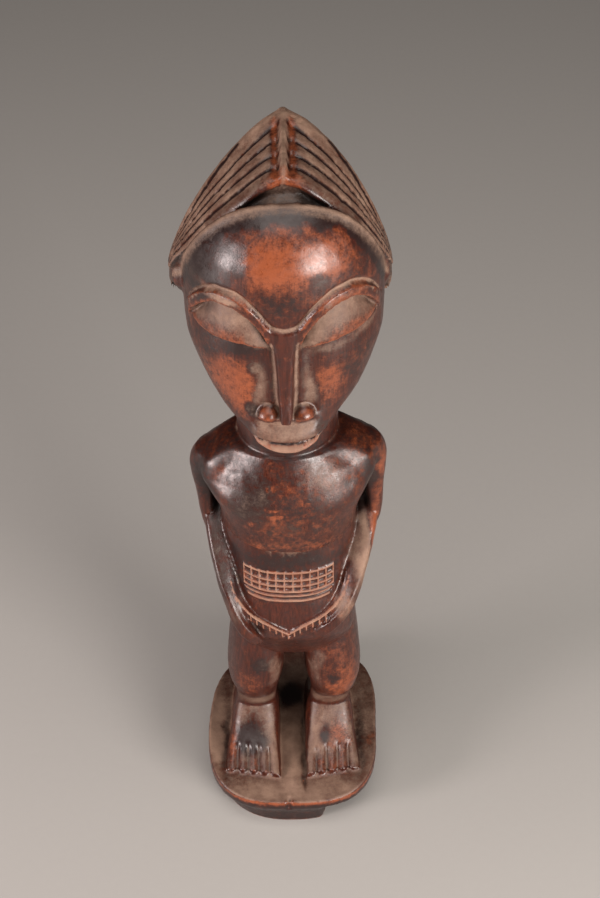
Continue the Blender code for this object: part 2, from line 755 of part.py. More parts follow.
def nose_relief(across, height, face):
    """The long flat-topped nose with grooves beside it and small round wings, laid on the face."""
    half, high = glide(NOSE, height).T
    length = ramp(NOSE_LOW - 0.5, NOSE_LOW + 0.5, height) * (1 - ramp(236.0, 241.0, height))
    beside = swell(across, half + 1.5, 0.9) * length * (1 - ramp(228.0, 233.0, height))
    face = face - NOSE_GROOVE * beside
    ridge = (1 - ramp(-0.3, 0.9, across - half)) * length
    away = np.hypot((across - WING_OUT) / WING_HALF[0], (height - WING_UP) / WING_HALF[1])
    wing = WING_PROUD * np.sqrt(np.clip(1 - away**2, 0.0, 1.0))
    rim = 0.5 * swell(away, 1.25, 0.22) * ramp(WING_UP - 1.0, WING_UP + 1.0, height)
    above = ramp(NOSE_LOW - 0.5, NOSE_LOW + 0.5, height)
    face = face + (wing - rim) * above * (1 - ridge)
    return face * (1 - ridge) + high * ridge


def mouth_relief(across, height):
    """A hollow upper lip, the line of the mouth and a full lower lip."""
    near = 1 - ramp(MOUTH_HALF - 2.5, MOUTH_HALF, across)
    taper = np.clip(1 - (across / MOUTH_HALF) ** 2, 0.0, 1.0)
    up = height - MOUTH_LINE - MOUTH_BOW * across**2
    hollow = -0.6 * swell(up, 7.0, 1.4)
    upper = 0.8 * swell(up, 2.6, 3.0)
    line = -1.7 * swell(up, 0.0, 0.6)
    full = 0.2 + 0.8 * taper
    lower = LIP_PROUD * full * swell(up, -0.5 - 1.6 * taper, 0.5 + 1.4 * taper)
    under = -0.9 * swell(up, -4.9, 1.2)
    return near * (hollow + upper + line + lower + under)


def face_relief(x, forward, height):
    """Carving of the face, outward in body units."""
    across = np.abs(x)
    facing = ramp(4.0, 9.0, forward) * ramp(176.0, 184.0, height)
    top, low, lid = eye_edges(x)
    inside = 1 - ramp(28.5, 31.5, across)
    in_eye = (
        ramp(-0.3, 0.5, low - height)
        * ramp(-0.4, 0.4, height - lid)
        * ramp(3.6, 5.2, across)
        * (1 - ramp(28.0, 30.5, across))
    )
    band = BROW_PROUD * ramp(-0.5, 0.5, top - height) * ramp(-0.3, 0.5, height - low)
    groove = -BROW_GROOVE * swell(height, top + 0.9, 0.8)
    below = 1 - ramp(-0.4, 0.4, height - lid)
    cheek = -LID_STEP * below * np.exp(-np.clip(lid - height, 0, None) / 4.5)
    hollow = -1.2 * swell(across, 8.0, 5.0) * ramp(196.0, 206.0, height) * (
        1 - ramp(226.0, 233.0, height)
    )
    face = (band + groove + cheek) * inside + hollow
    face = face * (1 - in_eye) + eye_relief(across, height, low, lid) * in_eye
    face = nose_relief(across, height, face)
    return (face + mouth_relief(across, height)) * facing


def hair_angle(forward, height):
    """Angle of a point about the temple line, in degrees up from straight ahead."""
    angle = np.degrees(np.arctan2(height - TEMPLE_HEIGHT, forward - TEMPLE_FORWARD))
    return np.where(angle < -90.0, angle + 360.0, angle)


def trunk_relief(x, forward, height):
    """The chest's edge over the belly, the neck's ring, and the spine and seat on the back."""
    across = np.abs(x)
    edge = CHEST_LOW + CHEST_BOW * across**2
    below = 1 - ramp(-0.7, 0.7, height - edge)
    step = CHEST_STEP * below * np.exp(-np.clip(edge - height, 0, None) / 11.0)
    front = -step * ramp(4.0, 9.0, forward) * (1 - ramp(20.0, 23.0, across))
    near_neck = 1 - ramp(20.0, 22.0, np.hypot(x, forward))
    ring = -NECK_GROOVE * swell(height, NECK_FOOT, 0.8) * near_neck
    upper = ramp(146.0, 156.0, height) * (1 - ramp(166.0, 170.0, height))
    fall = np.clip(np.hypot(across, CHEST_KEEL) - CHEST_KEEL, 0.0, 16.0)
    front -= CHEST_FALL * fall * upper * ramp(8.0, 15.0, forward)
    spine = -1.3 * swell(x, 0.0, 2.2) * ramp(92.0, 104.0, height) * (
        1 - ramp(150.0, 162.0, height)
    )
    seat = -2.2 * swell(x, 0.0, 1.8) * ramp(56.0, 66.0, height) * (
        1 - ramp(86.0, 96.0, height)
    )
    blades = 1.0 * swell(across, 12.0, 6.0) * swell(height, 148.0, 10.0)
    return front + ring + ramp(4.0, 9.0, -forward) * (spine + seat + blades)


def toe_relief(x, forward, height):
    """Grooves between the toes."""
    across = np.abs(x)
    reach = forward + TOE_SLANT * (across - TOE_INNER)
    share = (across - TOE_INNER) / TOES_WIDTH * TOES
    groove = swell(share - np.round(share), 0.0, TOE_GROOVE_HALF)
    inside = ramp(0.4, 0.6, share) * (1 - ramp(TOES - 0.6, TOES - 0.4, share))
    return -TOE_GROOVE * groove * inside * ramp(15.5, 19.0, reach) * ramp(0.3, 1.5, height) * (
        1 - ramp(9.0, 12.0, height)
    )


def notch_relief(points):
    """The chip in the plinth's front lip, in metres."""
    x, y, height = points.T
    on_lip = ramp(PLINTH_HEIGHT - PLINTH_LIP, PLINTH_HEIGHT - PLINTH_LIP + 0.0015, height)
    at_front = ramp(-PLINTH_FRONT + 0.004, -PLINTH_FRONT + 0.0015, y)
    return -NOTCH_DEPTH * swell(x, NOTCH_AT, NOTCH_HALF) * on_lip * at_front


def relief(points):
    """How far each point is carved outward, in metres."""
    x, forward, height = body_units(points)
    on_trunk = (height > 54) & (height < 172)
    on_head = height >= 176
    on_foot = (height > 0.2) & (height < 14)
    out = np.zeros(len(points))
    for where, carving in (
        (on_trunk, trunk_relief),
        (on_head, face_relief),
        (on_foot, toe_relief),
    ):
        out[where] += carving(x[where], forward[where], height[where])
    return out * UNIT + notch_relief(points)


def dished(points):
    """Raises the plinth's sides, so that its top is a shallow dish."""
    share = np.abs(points[:, 0]) / (PLINTH_WIDTH / 2)
    near_top = ramp(PLINTH_HEIGHT - PLINTH_LIP, PLINTH_HEIGHT - 0.001, points[:, 2])
    on_plinth = points[:, 2] < PLINTH_HEIGHT + 0.0012
    points = points.copy()
    points[:, 2] += DISH_RISE * share**3 * near_top * on_plinth
    return points


def leaned(points):
    """Shifts the parts a little off the axis and off the level, as the hand-carving left them."""
    x, _, height = body_units(points)
    points = points.copy()
    points[:, 0] += glide(LEAN, height)[:, 0] * UNIT
    points[:, 2] += SHOULDER_TILT * x * swell(height, SHOULDER_HEIGHT, 12.0) * UNIT
    return points


def cut_flat(figure):
    """Cuts the underside off flat at height 0."""
    bm = bmesh.new()
    bm.from_mesh(figure.data)
    cut = bmesh.ops.bisect_plane(
        bm,
        geom=bm.verts[:] + bm.edges[:] + bm.faces[:],
        plane_co=(0, 0, 0),
        plane_no=(0, 0, -1),
        clear_outer=True,
    )
    rim = [e for e in cut["geom_cut"] if isinstance(e, bmesh.types.BMEdge)]
    bmesh.ops.holes_fill(bm, edges=rim)
    bmesh.ops.triangulate(bm, faces=bm.faces)
    bmesh.ops.recalc_face_normals(bm, faces=bm.faces)
    bm.to_mesh(figure.data)
    bm.free()


def thinned(figure, triangles):
    """Keeps only as many triangles as asked, most of them where the carving is."""
    thin = figure.modifiers.new("Thin", "DECIMATE")
    thin.ratio = min(1.0, triangles / len(figure.data.polygons))
    settle(figure)


def carved_figure(voxel, triangles):
    figure = fused(blanks(), voxel)
    points = smoothed(figure.data, points_of(figure.data), 3)
    set_points(figure.data, dished(points))
    points = points_of(figure.data)
    carved = points + normals_of(figure.data) * relief(points)[:, None]
    set_points(figure.data, leaned(carved))
    cut_flat(figure)
    thinned(figure, triangles)
    return figure


def oiled_wood():
    """Dark red-brown hardwood, oiled and handled to a soft gloss."""
    material = bpy.data.materials.new("oiled_hardwood")
    material.use_nodes = True
    shader = material.node_tree.nodes["Principled BSDF"]
    shader.inputs["Base Color"].default_value = (0.15, 0.055, 0.03, 1.0)
    shader.inputs["Roughness"].default_value = 0.38
    shader.inputs["Metallic"].default_value = 0.0
    return material


def main():
    for thing in list(bpy.data.objects):
        bpy.data.objects.remove(thing)
    home = bpy.data.collections.new("ancestor_figure")
    bpy.context.scene.collection.children.link(home)
    figure = carved_figure(VOXEL, TRIANGLES)
    bpy.context.scene.collection.objects.unlink(figure)
    home.objects.link(figure)
    figure.data.name = "figure"
    figure.data.materials.append(oiled_wood())
    figure.data.shade_smooth()


main()
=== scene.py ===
"""Looks of a standing ancestor figure, carved with its plinth from one block of dark hardwood.

Everything is in metres, +Z up, and the figure faces -Y. The same blanks as the CAD solid's are
fused at a finer grain and carved with the knife's small work. The wood is then oiled, blackened by
hands and smoke, worn back to red on what stands proud, and dusty in its hollows.
"""

import math
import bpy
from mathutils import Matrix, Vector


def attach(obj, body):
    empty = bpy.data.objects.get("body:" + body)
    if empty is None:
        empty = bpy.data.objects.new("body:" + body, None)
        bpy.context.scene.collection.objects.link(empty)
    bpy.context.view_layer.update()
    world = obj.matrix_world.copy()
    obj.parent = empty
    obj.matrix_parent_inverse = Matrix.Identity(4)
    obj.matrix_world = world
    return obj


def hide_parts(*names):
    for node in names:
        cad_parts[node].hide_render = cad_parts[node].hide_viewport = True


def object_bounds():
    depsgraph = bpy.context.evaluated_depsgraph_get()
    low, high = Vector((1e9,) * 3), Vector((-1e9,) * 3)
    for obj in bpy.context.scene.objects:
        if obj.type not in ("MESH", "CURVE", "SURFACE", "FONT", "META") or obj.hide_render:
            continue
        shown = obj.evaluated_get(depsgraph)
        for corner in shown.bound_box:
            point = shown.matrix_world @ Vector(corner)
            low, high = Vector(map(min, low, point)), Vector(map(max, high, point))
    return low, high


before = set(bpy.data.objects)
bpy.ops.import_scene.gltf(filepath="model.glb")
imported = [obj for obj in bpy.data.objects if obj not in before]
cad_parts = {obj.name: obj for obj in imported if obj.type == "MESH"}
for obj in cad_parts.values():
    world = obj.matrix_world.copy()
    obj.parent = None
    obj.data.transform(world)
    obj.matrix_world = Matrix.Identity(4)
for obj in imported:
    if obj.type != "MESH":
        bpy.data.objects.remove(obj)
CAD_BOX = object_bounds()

from types import SimpleNamespace

import bmesh
import bpy
import numpy as np
from mathutils import Quaternion, Vector
from mathutils.bvhtree import BVHTree
from mathutils.kdtree import KDTree

bl_info = {
    "name": "Ancestor Figure",
    "version": (1, 0, 0),
    "blender": (4, 5, 0),
    "location": "View3D > Sidebar > Figure",
    "description": "Carves and finishes a standing figure of dark hardwood, and sets its stage",
    "category": "Add Mesh",
}

# Driving sizes, in metres
BODY_HEIGHT = 0.284  # from the plinth's top to the top of the hair
PLINTH_HEIGHT = 0.016
PLINTH_WIDTH = 0.068
PLINTH_SQUARENESS = 3.0  # 2 would be an oval, and more is squarer
PLINTH_FOOT_SQUARENESS = 2.45  # the same for its foot
PLINTH_SKEW = 0.06  # how fast the plinth's back half runs off to one side
PLINTH_FRONT = 0.0383  # from the figure's axis to the front lip
PLINTH_BACK = 0.0420  # from the figure's axis to the back lip
PLINTH_LIP = 0.0050  # thickness of the overhanging lip
PLINTH_UNDERCUT = 0.0036  # how far the foot of the plinth stands in under the lip
# The foot of the plinth is broken away at the front right, between these shares of its half width
BREAK_START = 0.30
BREAK_END = 1.0
BREAK_DEPTH = 0.0065  # how far the break goes in
NOTCH_AT = -0.0016  # a small chip in the front lip
NOTCH_HALF = 0.0009  # half the chip's width
NOTCH_DEPTH = 0.0012
DISH_RISE = 0.0016  # how far the plinth's sides rise above its middle

# The body is drawn in units, 284 of them from the plinth's top to the top of the hair
BODY_UNITS = 284.0
UNIT = BODY_HEIGHT / BODY_UNITS

# Horizontal sections of the head: height, half width, reach forward, reach back, squareness
HEAD = [
    (180.0, 4.0, 25.0, 14.0, 2.2),
    (182.5, 9.0, 29.5, 16.5, 2.4),
    (187.0, 14.3, 32.0, 17.5, 2.6),
    (191.0, 18.0, 32.6, 18.0, 2.6),
    (196.0, 22.3, 32.0, 20.0, 2.5),
    (203.0, 27.0, 31.0, 23.0, 2.35),
    (211.0, 30.0, 30.8, 26.0, 2.25),
    (220.0, 32.3, 31.2, 29.0, 2.2),
    (230.0, 32.6, 31.8, 31.5, 2.2),
    (240.0, 32.8, 33.2, 33.0, 2.2),
    (250.0, 32.5, 35.0, 33.0, 2.15),
    (259.0, 31.0, 34.8, 31.0, 2.1),
    (267.0, 28.0, 32.4, 27.5, 2.05),
    (273.0, 23.5, 28.8, 23.0, 2.0),
    (277.0, 18.0, 23.5, 18.0, 2.0),
    (279.5, 11.0, 15.5, 11.0, 2.0),
    (280.3, 3.0, 6.0, 3.0, 2.0),
]

# Horizontal sections of the trunk, from the crotch to the root of the neck, as for the head
TRUNK = [
    (54.5, 13.0, 4.0, 8.0, 2.2),
    (58.0, 17.0, 9.5, 14.0, 2.3),
    (62.0, 20.0, 13.0, 18.0, 2.4),
    (68.0, 22.6, 16.8, 21.5, 2.5),
    (76.0, 23.4, 21.0, 24.0, 2.7),
    (84.0, 22.4, 24.4, 24.5, 2.9),
    (91.0, 22.8, 25.0, 22.0, 2.8),
    (99.0, 22.4, 24.2, 19.5, 2.8),
    (108.0, 22.6, 22.0, 17.5, 2.8),
    (118.0, 23.2, 20.4, 16.5, 2.8),
    (124.0, 24.0, 20.2, 16.8, 2.7),
    (128.0, 24.2, 20.8, 17.0, 2.5),
    (131.0, 24.4, 21.6, 17.5, 2.4),
    (138.0, 25.4, 22.8, 18.5, 2.5),
    (146.0, 28.2, 23.0, 20.0, 2.6),
    (154.0, 31.0, 22.0, 20.5, 2.7),
    (160.0, 30.3, 20.2, 14.2, 2.5),
    (164.0, 26.7, 18.8, 12.2, 2.2),
    (167.0, 21.9, 18.0, 12.3, 2.1),
    (168.6, 18.6, 17.6, 13.5, 2.0),
]

NECK = [
    (158.0, 17.8, 17.0, 17.0, 2.0),
    (170.0, 17.6, 16.8, 16.8, 2.0),
    (192.0, 17.0, 16.0, 16.5, 2.0),
]

# Sections of an upper arm, with the place of its middle: height, half width, reach forward,
# reach back, squareness, middle out to the side, middle back
UPPER_ARM = [
    (163.0, 4.0, 4.5, 4.0, 2.0, 24.0, 0.0),
    (160.0, 7.0, 6.5, 7.5, 2.0, 25.5, 0.0),
    (154.0, 8.0, 6.0, 10.0, 2.1, 26.6, 1.0),
    (147.0, 6.6, 4.5, 10.5, 2.2, 27.9, 1.5),
    (139.0, 4.0, 4.0, 9.5, 2.4, 29.6, 2.5),
    (130.0, 3.2, 4.5, 8.5, 2.5, 29.5, 3.0),
    (123.0, 3.3, 4.5, 8.0, 2.5, 28.6, 2.5),
    (117.0, 3.0, 3.0, 6.0, 2.3, 27.4, 1.0),
]

ELBOW_OUT = 1.5  # how much further out the figure's left elbow is
ELBOW_HEIGHT = 125.0

# A back plate that fills the space between an arm and the trunk from behind
SHOULDER_PLATE = [
    (156.0, 6.0, -6.0, 10.5, 2.2, 20.0, 0.0),
    (149.0, 9.5, -5.0, 15.0, 2.2, 20.5, 0.0),
    (138.0, 9.5, -5.0, 14.5, 2.2, 20.0, 0.0),
    (126.0, 9.0, -4.0, 12.5, 2.2, 19.0, 0.0),
    (116.0, 7.5, -3.0, 11.0, 2.2, 18.0, 0.0),
]

# A forearm's middle line and thickness: out to the side, forward, height, half width, half depth
FOREARM = [
    (27.4, -4.0, 125.6, 4.0, 3.2),
    (26.4, 2.0, 122.0, 4.0, 3.2),
    (25.4, 7.2, 116.2, 3.8, 3.2),
    (24.4, 11.8, 111.2, 3.4, 3.1),
    (23.4, 16.0, 106.6, 3.0, 3.0),
    (21.4, 20.2, 101.2, 2.6, 2.8),
    (18.4, 23.2, 94.6, 2.5, 2.7),
    (14.4, 24.4, 88.4, 2.4, 2.6),
    (10.6, 24.0, 83.2, 1.3, 2.0),
]
HANDS_SHIFT = -1.7  # how far to one side both hands lie
HANDS_TILT = 2.0  # how much higher one hand lies than the middle of the two

# Wood left between a forearm and the belly
CORE_INSET = 3.6  # how far inside the forearm's own line it runs
CORE_HALF = 2.8  # half its thickness

# The fingers, cut as one notched band in a V on the belly: out to the side, height of its rim,
# and how far forward it lies at least
FINGERS = [
    (0.0, 87.6, 25.0),
    (4.4, 90.8, 25.0),
    (8.6, 93.4, 24.6),
    (12.8, 95.9, 23.6),
    (16.2, 99.0, 22.2),
    (19.0, 102.6, 20.4),
    (20.6, 106.0, 18.4),
    (21.6, 110.0, 15.6),
    (22.4, 115.0, 11.0),
]
FINGERS_MIDDLE = -1.3  # the V's tip is a little to one side
FINGERS_PROUD = 1.5  # how far the band stands out of the belly
FINGERS_HALF = 1.7  # half the band's height

# Sections of a leg, as for an upper arm
LEG = [
    (87.0, 8.5, 8.0, 16.0, 2.2, 12.5, 0.0),
    (76.0, 10.2, 12.5, 19.0, 2.2, 13.2, 0.0),
    (66.0, 10.5, 15.0, 17.5, 2.3, 13.7, 0.0),
    (56.0, 10.9, 16.4, 16.0, 2.3, 14.3, 0.0),
    (46.0, 11.0, 16.6, 15.5, 2.3, 14.9, 0.0),
    (39.0, 10.1, 15.2, 17.0, 2.2, 15.2, 0.0),
    (33.0, 9.0, 11.5, 18.4, 2.2, 15.0, 0.0),
    (27.0, 8.1, 7.0, 18.8, 2.2, 14.8, 0.0),
    (21.0, 7.7, 4.5, 17.8, 2.2, 14.6, 0.0),
    (14.0, 7.9, 4.0, 16.4, 2.2, 14.6, 0.0),
    (6.0, 8.2, 5.0, 17.0, 2.2, 14.6, 0.0),
]

# Upright sections of a foot, heel to toe: forward, middle out to the side, half width, height
FOOT = [
    (-26.0, 14.5, 5.0, 4.0),
    (-23.5, 14.5, 8.0, 8.0),
    (-14.0, 14.6, 9.4, 11.5),
    (-5.0, 14.7, 9.6, 19.0),
    (1.0, 14.8, 9.8, 22.0),
    (5.0, 15.0, 9.9, 18.8),
    (10.0, 15.3, 10.2, 13.0),
    (16.0, 15.6, 10.6, 8.2),
    (22.0, 15.8, 10.9, 4.6),
    (26.0, 15.8, 10.9, 2.6),
]
FOOT_SQUARENESS = 3.2
FOOT_SUNK = 4.0  # how far its blank goes down into the plinth
TOE_SLANT = 0.15  # how fast the toes fall back towards the outer side
TOES = 5
TOE_INNER = 5.0  # where the big toe starts, out to the side
TOES_WIDTH = 21.6
TOE_GROOVE = 1.4  # depth of the grooves between toes
TOE_GROOVE_HALF = 0.23  # half their width, in toes

# Edges across the face: out to the side, height
BROW_TOP = [
    (0.0, 237.4),
    (3.5, 238.2),
    (8.0, 245.2),
    (12.0, 249.4),
    (16.0, 251.4),
    (20.0, 251.5),
    (24.0, 249.4),
    (28.0, 243.8),
    (31.0, 235.0),
]
BROW_LOW = [
    (0.0, 226.4),
    (4.0, 229.9),
    (7.5, 238.1),
    (12.0, 244.5),
    (16.0, 247.0),
    (20.0, 247.4),
    (24.0, 244.5),
    (28.0, 237.6),
    (31.0, 228.0),
]
LID_LOW = [
    (0.0, 228.2),
    (5.0, 228.5),
    (12.0, 230.6),
    (18.0, 231.3),
    (23.0, 231.0),
    (27.0, 231.4),
    (31.0, 233.8),
]
EYE_TILT = 0.035  # the two eyes aren't quite level
BROW_PROUD = 1.3  # how far the brow's band stands out
BROW_GROOVE = 0.7  # depth of the line along the band's upper edge
SOCKET_DEPTH = 2.9  # depth of the eye's hollow just under the brow
SOCKET_CORNER = 1.6  # how much deeper the hollow is beside the nose
LID_PROUD = 1.2  # how far the lid's lower edge stands out
LID_STEP = 1.2  # depth of the cheek under the lid's edge
# The nose's ridge: height, half width, how far it stands out
NOSE = [
    (197.0, 1.4, 4.4),
    (201.0, 1.5, 4.4),
    (206.0, 1.8, 4.0),
    (220.0, 2.3, 2.9),
    (232.0, 2.8, 2.0),
    (240.0, 3.6, 1.4),
]
NOSE_LOW = 199.6
NOSE_GROOVE = 0.6  # depth of the grooves beside the nose
WING_OUT = 5.9  # the middle of the nose's small wings, out to the side
WING_UP = 200.8
WING_HALF = (3.4, 3.2)  # half their width and height
WING_PROUD = 2.7
MOUTH_LINE = 189.6  # height of the line between the lips
MOUTH_BOW = 0.010  # how fast that line rises to its corners
MOUTH_HALF = 11.6
LIP_PROUD = 1.9
CHEST_LOW = 124.2  # height of the chest's lower edge in the middle
CHEST_BOW = 0.010  # how fast that edge rises to the sides
CHEST_STEP = 1.7  # how far the chest stands out over the belly
CHEST_FALL = 0.15  # how fast the two flats of the upper chest fall back from its middle
CHEST_KEEL = 8.0  # how broadly they are rounded into each other
NECK_FOOT = 168.8  # height of the ring where the neck rises out of the shoulders
NECK_GROOVE = 0.6

# Nothing is quite in line: height, shift to the side
LEAN = [
    (4.0, 0.0),
    (16.0, 0.4),
    (34.0, 1.1),
    (74.0, 1.1),
    (96.0, 0.0),
    (180.0, 0.0),
    (190.0, -0.3),
    (196.0, -0.7),
    (204.0, -0.3),
    (212.0, -0.4),
    (252.0, -0.6),
    (274.0, 0.0),
]

SHOULDER_TILT = 0.055  # one shoulder is higher than the other
SHOULDER_HEIGHT = 158.0

# Sections of the swelling at a temple, as for an upper arm, but with the middle's place given
# inward from the end of the hair
TEMPLE = [
    (227.5, 0.8, 2.0, 3.0, 2.0, 4.6, 2.0),
    (231.0, 2.4, 4.5, 7.0, 2.0, 4.4, 1.0),
    (236.0, 3.8, 6.5, 9.0, 2.0, 4.2, 0.0),
    (241.0, 3.6, 6.0, 9.0, 2.0, 4.2, 0.0),
    (246.0, 0.8, 2.0, 4.0, 2.0, 4.6, 0.0),
]

# The hair turns about a line through the temples: forward and up from the figure's axis
TEMPLE_FORWARD = 3.0
TEMPLE_HEIGHT = 238.0
HAIR_LEFT = 36.8
HAIR_RIGHT = 35.0
HAIR_HUB = 3.5  # the hair's distance from the temple line at its two ends
# How the hair falls away from its crest to its ends: power of the way out, power of what is left
HAIR_LEFT_ROUND = (1.40, 0.77)
HAIR_RIGHT_ROUND = (1.5, 0.73)
HAIR_DEPTH = 14.0  # thickness of the hair's blank
HAIR_INSIDE = 0.86  # how much narrower the blank is on its inner side
HAIR_NAPE = 214.0  # angle of the hair's lower edge at the back
HAIR_LOBE = 34.0  # how much further round the hair goes at the temples
HAIR_FULLNESS = 0.4  # how much fuller the hair is at the back than in front
HAIRLINE = 60.0  # angle of the hairline at the temples
HAIRLINE_RISE = 5.5  # how much higher it is over the forehead
HAIRLINE_HALF = 30.0  # where it comes down to the temples' angle, out to the side
HAIRLINE_GAP = 1.2  # the least angle from the hairline to the hair
VISOR_RISE = 13.3  # how far the visor's peak stands above the temples' angle
VISOR_HALF = 33.0
HAIR_RECESS = 3.4  # depth of the hollow between the forehead and the visor
RECESS_ROUND = 7.0
FILLET_RISE = 0.7  # the raised line along the hairline
FILLET_HALF = 1.3
RIB_ANGLE = 9.0  # the angle that a rib takes up
RIB_DEPTH = 1.5
RIB_BLUNTNESS = 2.6  # more is flatter on top with narrower grooves
FIN_HALF = 1.2  # the thin fin along the crest
FIN_RISE = 0.5
BAND_ANGLE = 112.0  # the band that crosses the crown
BAND_RISE = 0.7
# Profile of the hair's ridge: angle up from straight ahead, distance from the temple line
RIDGE = [
    (58.0, 44.5),
    (73.0, 48.2),
    (90.0, 46.2),
    (105.0, 47.6),
    (117.0, 51.0),
    (127.0, 50.6),
    (140.0, 48.2),
    (157.0, 44.0),
    (180.0, 40.0),
    (200.0, 38.6),
    (216.0, 39.5),
]


def glide(keys, at):
    """The columns of keys at the places in at, on smooth curves that never overshoot a key."""
    table = np.array(sorted(keys), float)
    place, values = table[:, 0], table[:, 1:]
    at = np.clip(np.asarray(at, float), place[0], place[-1])
    gap = np.diff(place)[:, None]
    slope = np.diff(values, axis=0) / gap
    before, after = slope[:-1], slope[1:]
    same_way = before * after > 0
    total = np.where(same_way, before + after, 1.0)
    inner = np.where(same_way, 2.0 * before * after / total, 0.0)
    tangent = np.vstack([slope[:1], inner, slope[-1:]])
    index = np.clip(np.searchsorted(place, at, side="right") - 1, 0, len(place) - 2)
    width = gap[index]
    t = ((at - place[index]) / gap[index, 0])[:, None]
    return (
        (2 * t**3 - 3 * t**2 + 1) * values[index]
        + (t**3 - 2 * t**2 + t) * width * tangent[index]
        + (3 * t**2 - 2 * t**3) * values[index + 1]
        + (t**3 - t**2) * width * tangent[index + 1]
    )


def ramp(start, end, value):
    """0 at start, 1 at end, and smooth between them."""
    t = np.clip((value - start) / (end - start), 0.0, 1.0)
    return t * t * (3 - 2 * t)


def swell(value, middle, width):
    """A smooth bump, 1 at middle and nearly 0 at twice width from it."""
    return np.exp(-(((value - middle) / width) ** 2))


def signed_power(value, power):
    """A power of the value's size, with its sign kept."""
    return np.sign(value) * np.abs(value) ** power


def oval(squareness, count):
    """Places round a closed oval that reaches 1 each way. A squareness of 2 makes it a circle."""
    angle = np.linspace(0.0, 2.0 * np.pi, count, endpoint=False)
    return [signed_power(way(angle), 2.0 / squareness) for way in (np.cos, np.sin)]


def section(half_width, front, back, squareness, count=72):
    """A closed oval in the horizontal plane, with its own reach to the front and to the back."""
    x, y = oval(squareness, count)
    return half_width * x, np.where(y < 0, y * front, y * back)


def new_object(name, bm):
    """A new object in the scene with bm's mesh. It frees bm."""
    mesh = bpy.data.meshes.new(name)
    bm.to_mesh(mesh)
    bm.free()
    made = bpy.data.objects.new(name, mesh)
    bpy.context.scene.collection.objects.link(made)
    return made


def loft(name, rings):
    """A closed mesh over rings of as many points each, capped at both ends."""
    rings = np.asarray(rings, float)
    count = rings.shape[1]
    bm = bmesh.new()
    rows = [[bm.verts.new(point) for point in ring] for ring in rings]
    for low, high in zip(rows, rows[1:]):
        for i in range(count):
            j = (i + 1) % count
            bm.faces.new((low[i], low[j], high[j], high[i]))
    bm.faces.new(rows[0][::-1])
    bm.faces.new(rows[-1])
    bmesh.ops.recalc_face_normals(bm, faces=bm.faces)
    return new_object(name, bm)


def body_point(x, y, height):
    """A point given in body units, in metres."""
    return np.stack([x * UNIT, y * UNIT, PLINTH_HEIGHT + np.asarray(height) * UNIT], axis=-1)


def body_units(points):
    """Points in metres as places across, forward and up in body units."""
    height = (points[:, 2] - PLINTH_HEIGHT) / UNIT
    return points[:, 0] / UNIT, -points[:, 1] / UNIT, height


def stack(name, keys, side=1.0, step=1.5, count=72):
    """A loft through horizontal sections, each given by a row of keys."""
    low, high = min(k[0] for k in keys), max(k[0] for k in keys)
    heights = np.linspace(low, high, int((high - low) / step) + 2)
    rings = []
    for height, row in zip(heights, glide(keys, heights)):
        x, y = section(*row[:4], count=count)
        middle_x, middle_y = row[4:6] if len(row) > 4 else (0.0, 0.0)
        rings.append(body_point((x + middle_x) * side, y + middle_y, np.full(len(x), height)))
    return loft(name, rings)


def trunk_front(x, height):
    """How far forward the trunk's surface reaches at a place across it."""
    rows = glide(TRUNK, np.atleast_1d(height))
    share = np.clip(np.abs(x) / rows[:, 0], 0.0, 0.995)
    return rows[:, 1] * (1 - share ** rows[:, 3]) ** (1 / rows[:, 3])


def tube(name, middles, half_sizes, squareness=2.4, count=40):
    """A loft of oval sections square to a middle line. half_sizes are across and up the line."""
    middles = np.asarray(middles, float)
    along = np.gradient(middles, axis=0)
    along /= np.linalg.norm(along, axis=1)[:, None]
    across = np.cross(along, [0.0, 0.0, 1.0])
    across /= np.linalg.norm(across, axis=1)[:, None]
    up = np.cross(across, along)
    c, s = oval(squareness, count)
    rings = []
    for point, side_way, up_way, (half_across, half_up) in zip(middles, across, up, half_sizes):
        ring = point + c[:, None] * half_across * side_way + s[:, None] * half_up * up_way
        rings.append(body_point(*ring.T))
    return loft(name, rings)


def elbow_out(height, side):
    """How much further out an arm is on its own side."""
    return ELBOW_OUT * swell(height, ELBOW_HEIGHT, 14.0) * (side > 0)


def upper_arm(side):
    """The arm down to its elbow."""
    keys = [(*row[:5], row[5] + elbow_out(row[0], side), row[6]) for row in UPPER_ARM]
    return stack("upper_arm", keys, side)


def forearm_rows():
    """Rows of FOREARM at even steps along it."""
    keys = [(i, *row) for i, row in enumerate(FOREARM)]
    return glide(keys, np.linspace(0.0, len(FOREARM) - 1.0, 40))


def forearm(side):
    """A bent arm's lower half, from the elbow round the belly to the tip of the hand."""
    rows = forearm_rows()
    out = rows[:, 0] + elbow_out(rows[:, 2], side)
    hand = 1 - ramp(FOREARM[-1][2], FOREARM[-4][2], rows[:, 2])
    x = out * side + HANDS_SHIFT * hand
    height = rows[:, 2] + HANDS_TILT * side * hand
    middles = np.stack([x, -rows[:, 1], height], axis=1)
    return tube("forearm", middles, rows[:, 3:5], 4.0)


def fingers():
    """The raised V across the belly, between the hands."""
    reach = max(row[0] for row in FINGERS)
    across = np.linspace(-reach, reach, 121)
    rim, least = glide(FINGERS, np.abs(across)).T
    height = rim - FINGERS_HALF
    x = across + FINGERS_MIDDLE * (1 - (across / reach) ** 2)
    forward = np.maximum(trunk_front(x, height), least) + FINGERS_PROUD - FINGERS_HALF
    middles = np.stack([x, -forward, height], axis=1)
    return tube("fingers", middles, [(FINGERS_HALF, FINGERS_HALF)] * len(x), 4.0)


def forearm_core(side):
    """Wood left between a forearm and the belly."""
    out, forward, height = forearm_rows().T[:3]
    middles = np.stack([(out - CORE_INSET) * side, -(forward - CORE_INSET), height], axis=1)
    return tube("forearm_core", middles, [(CORE_HALF, CORE_HALF)] * len(out))


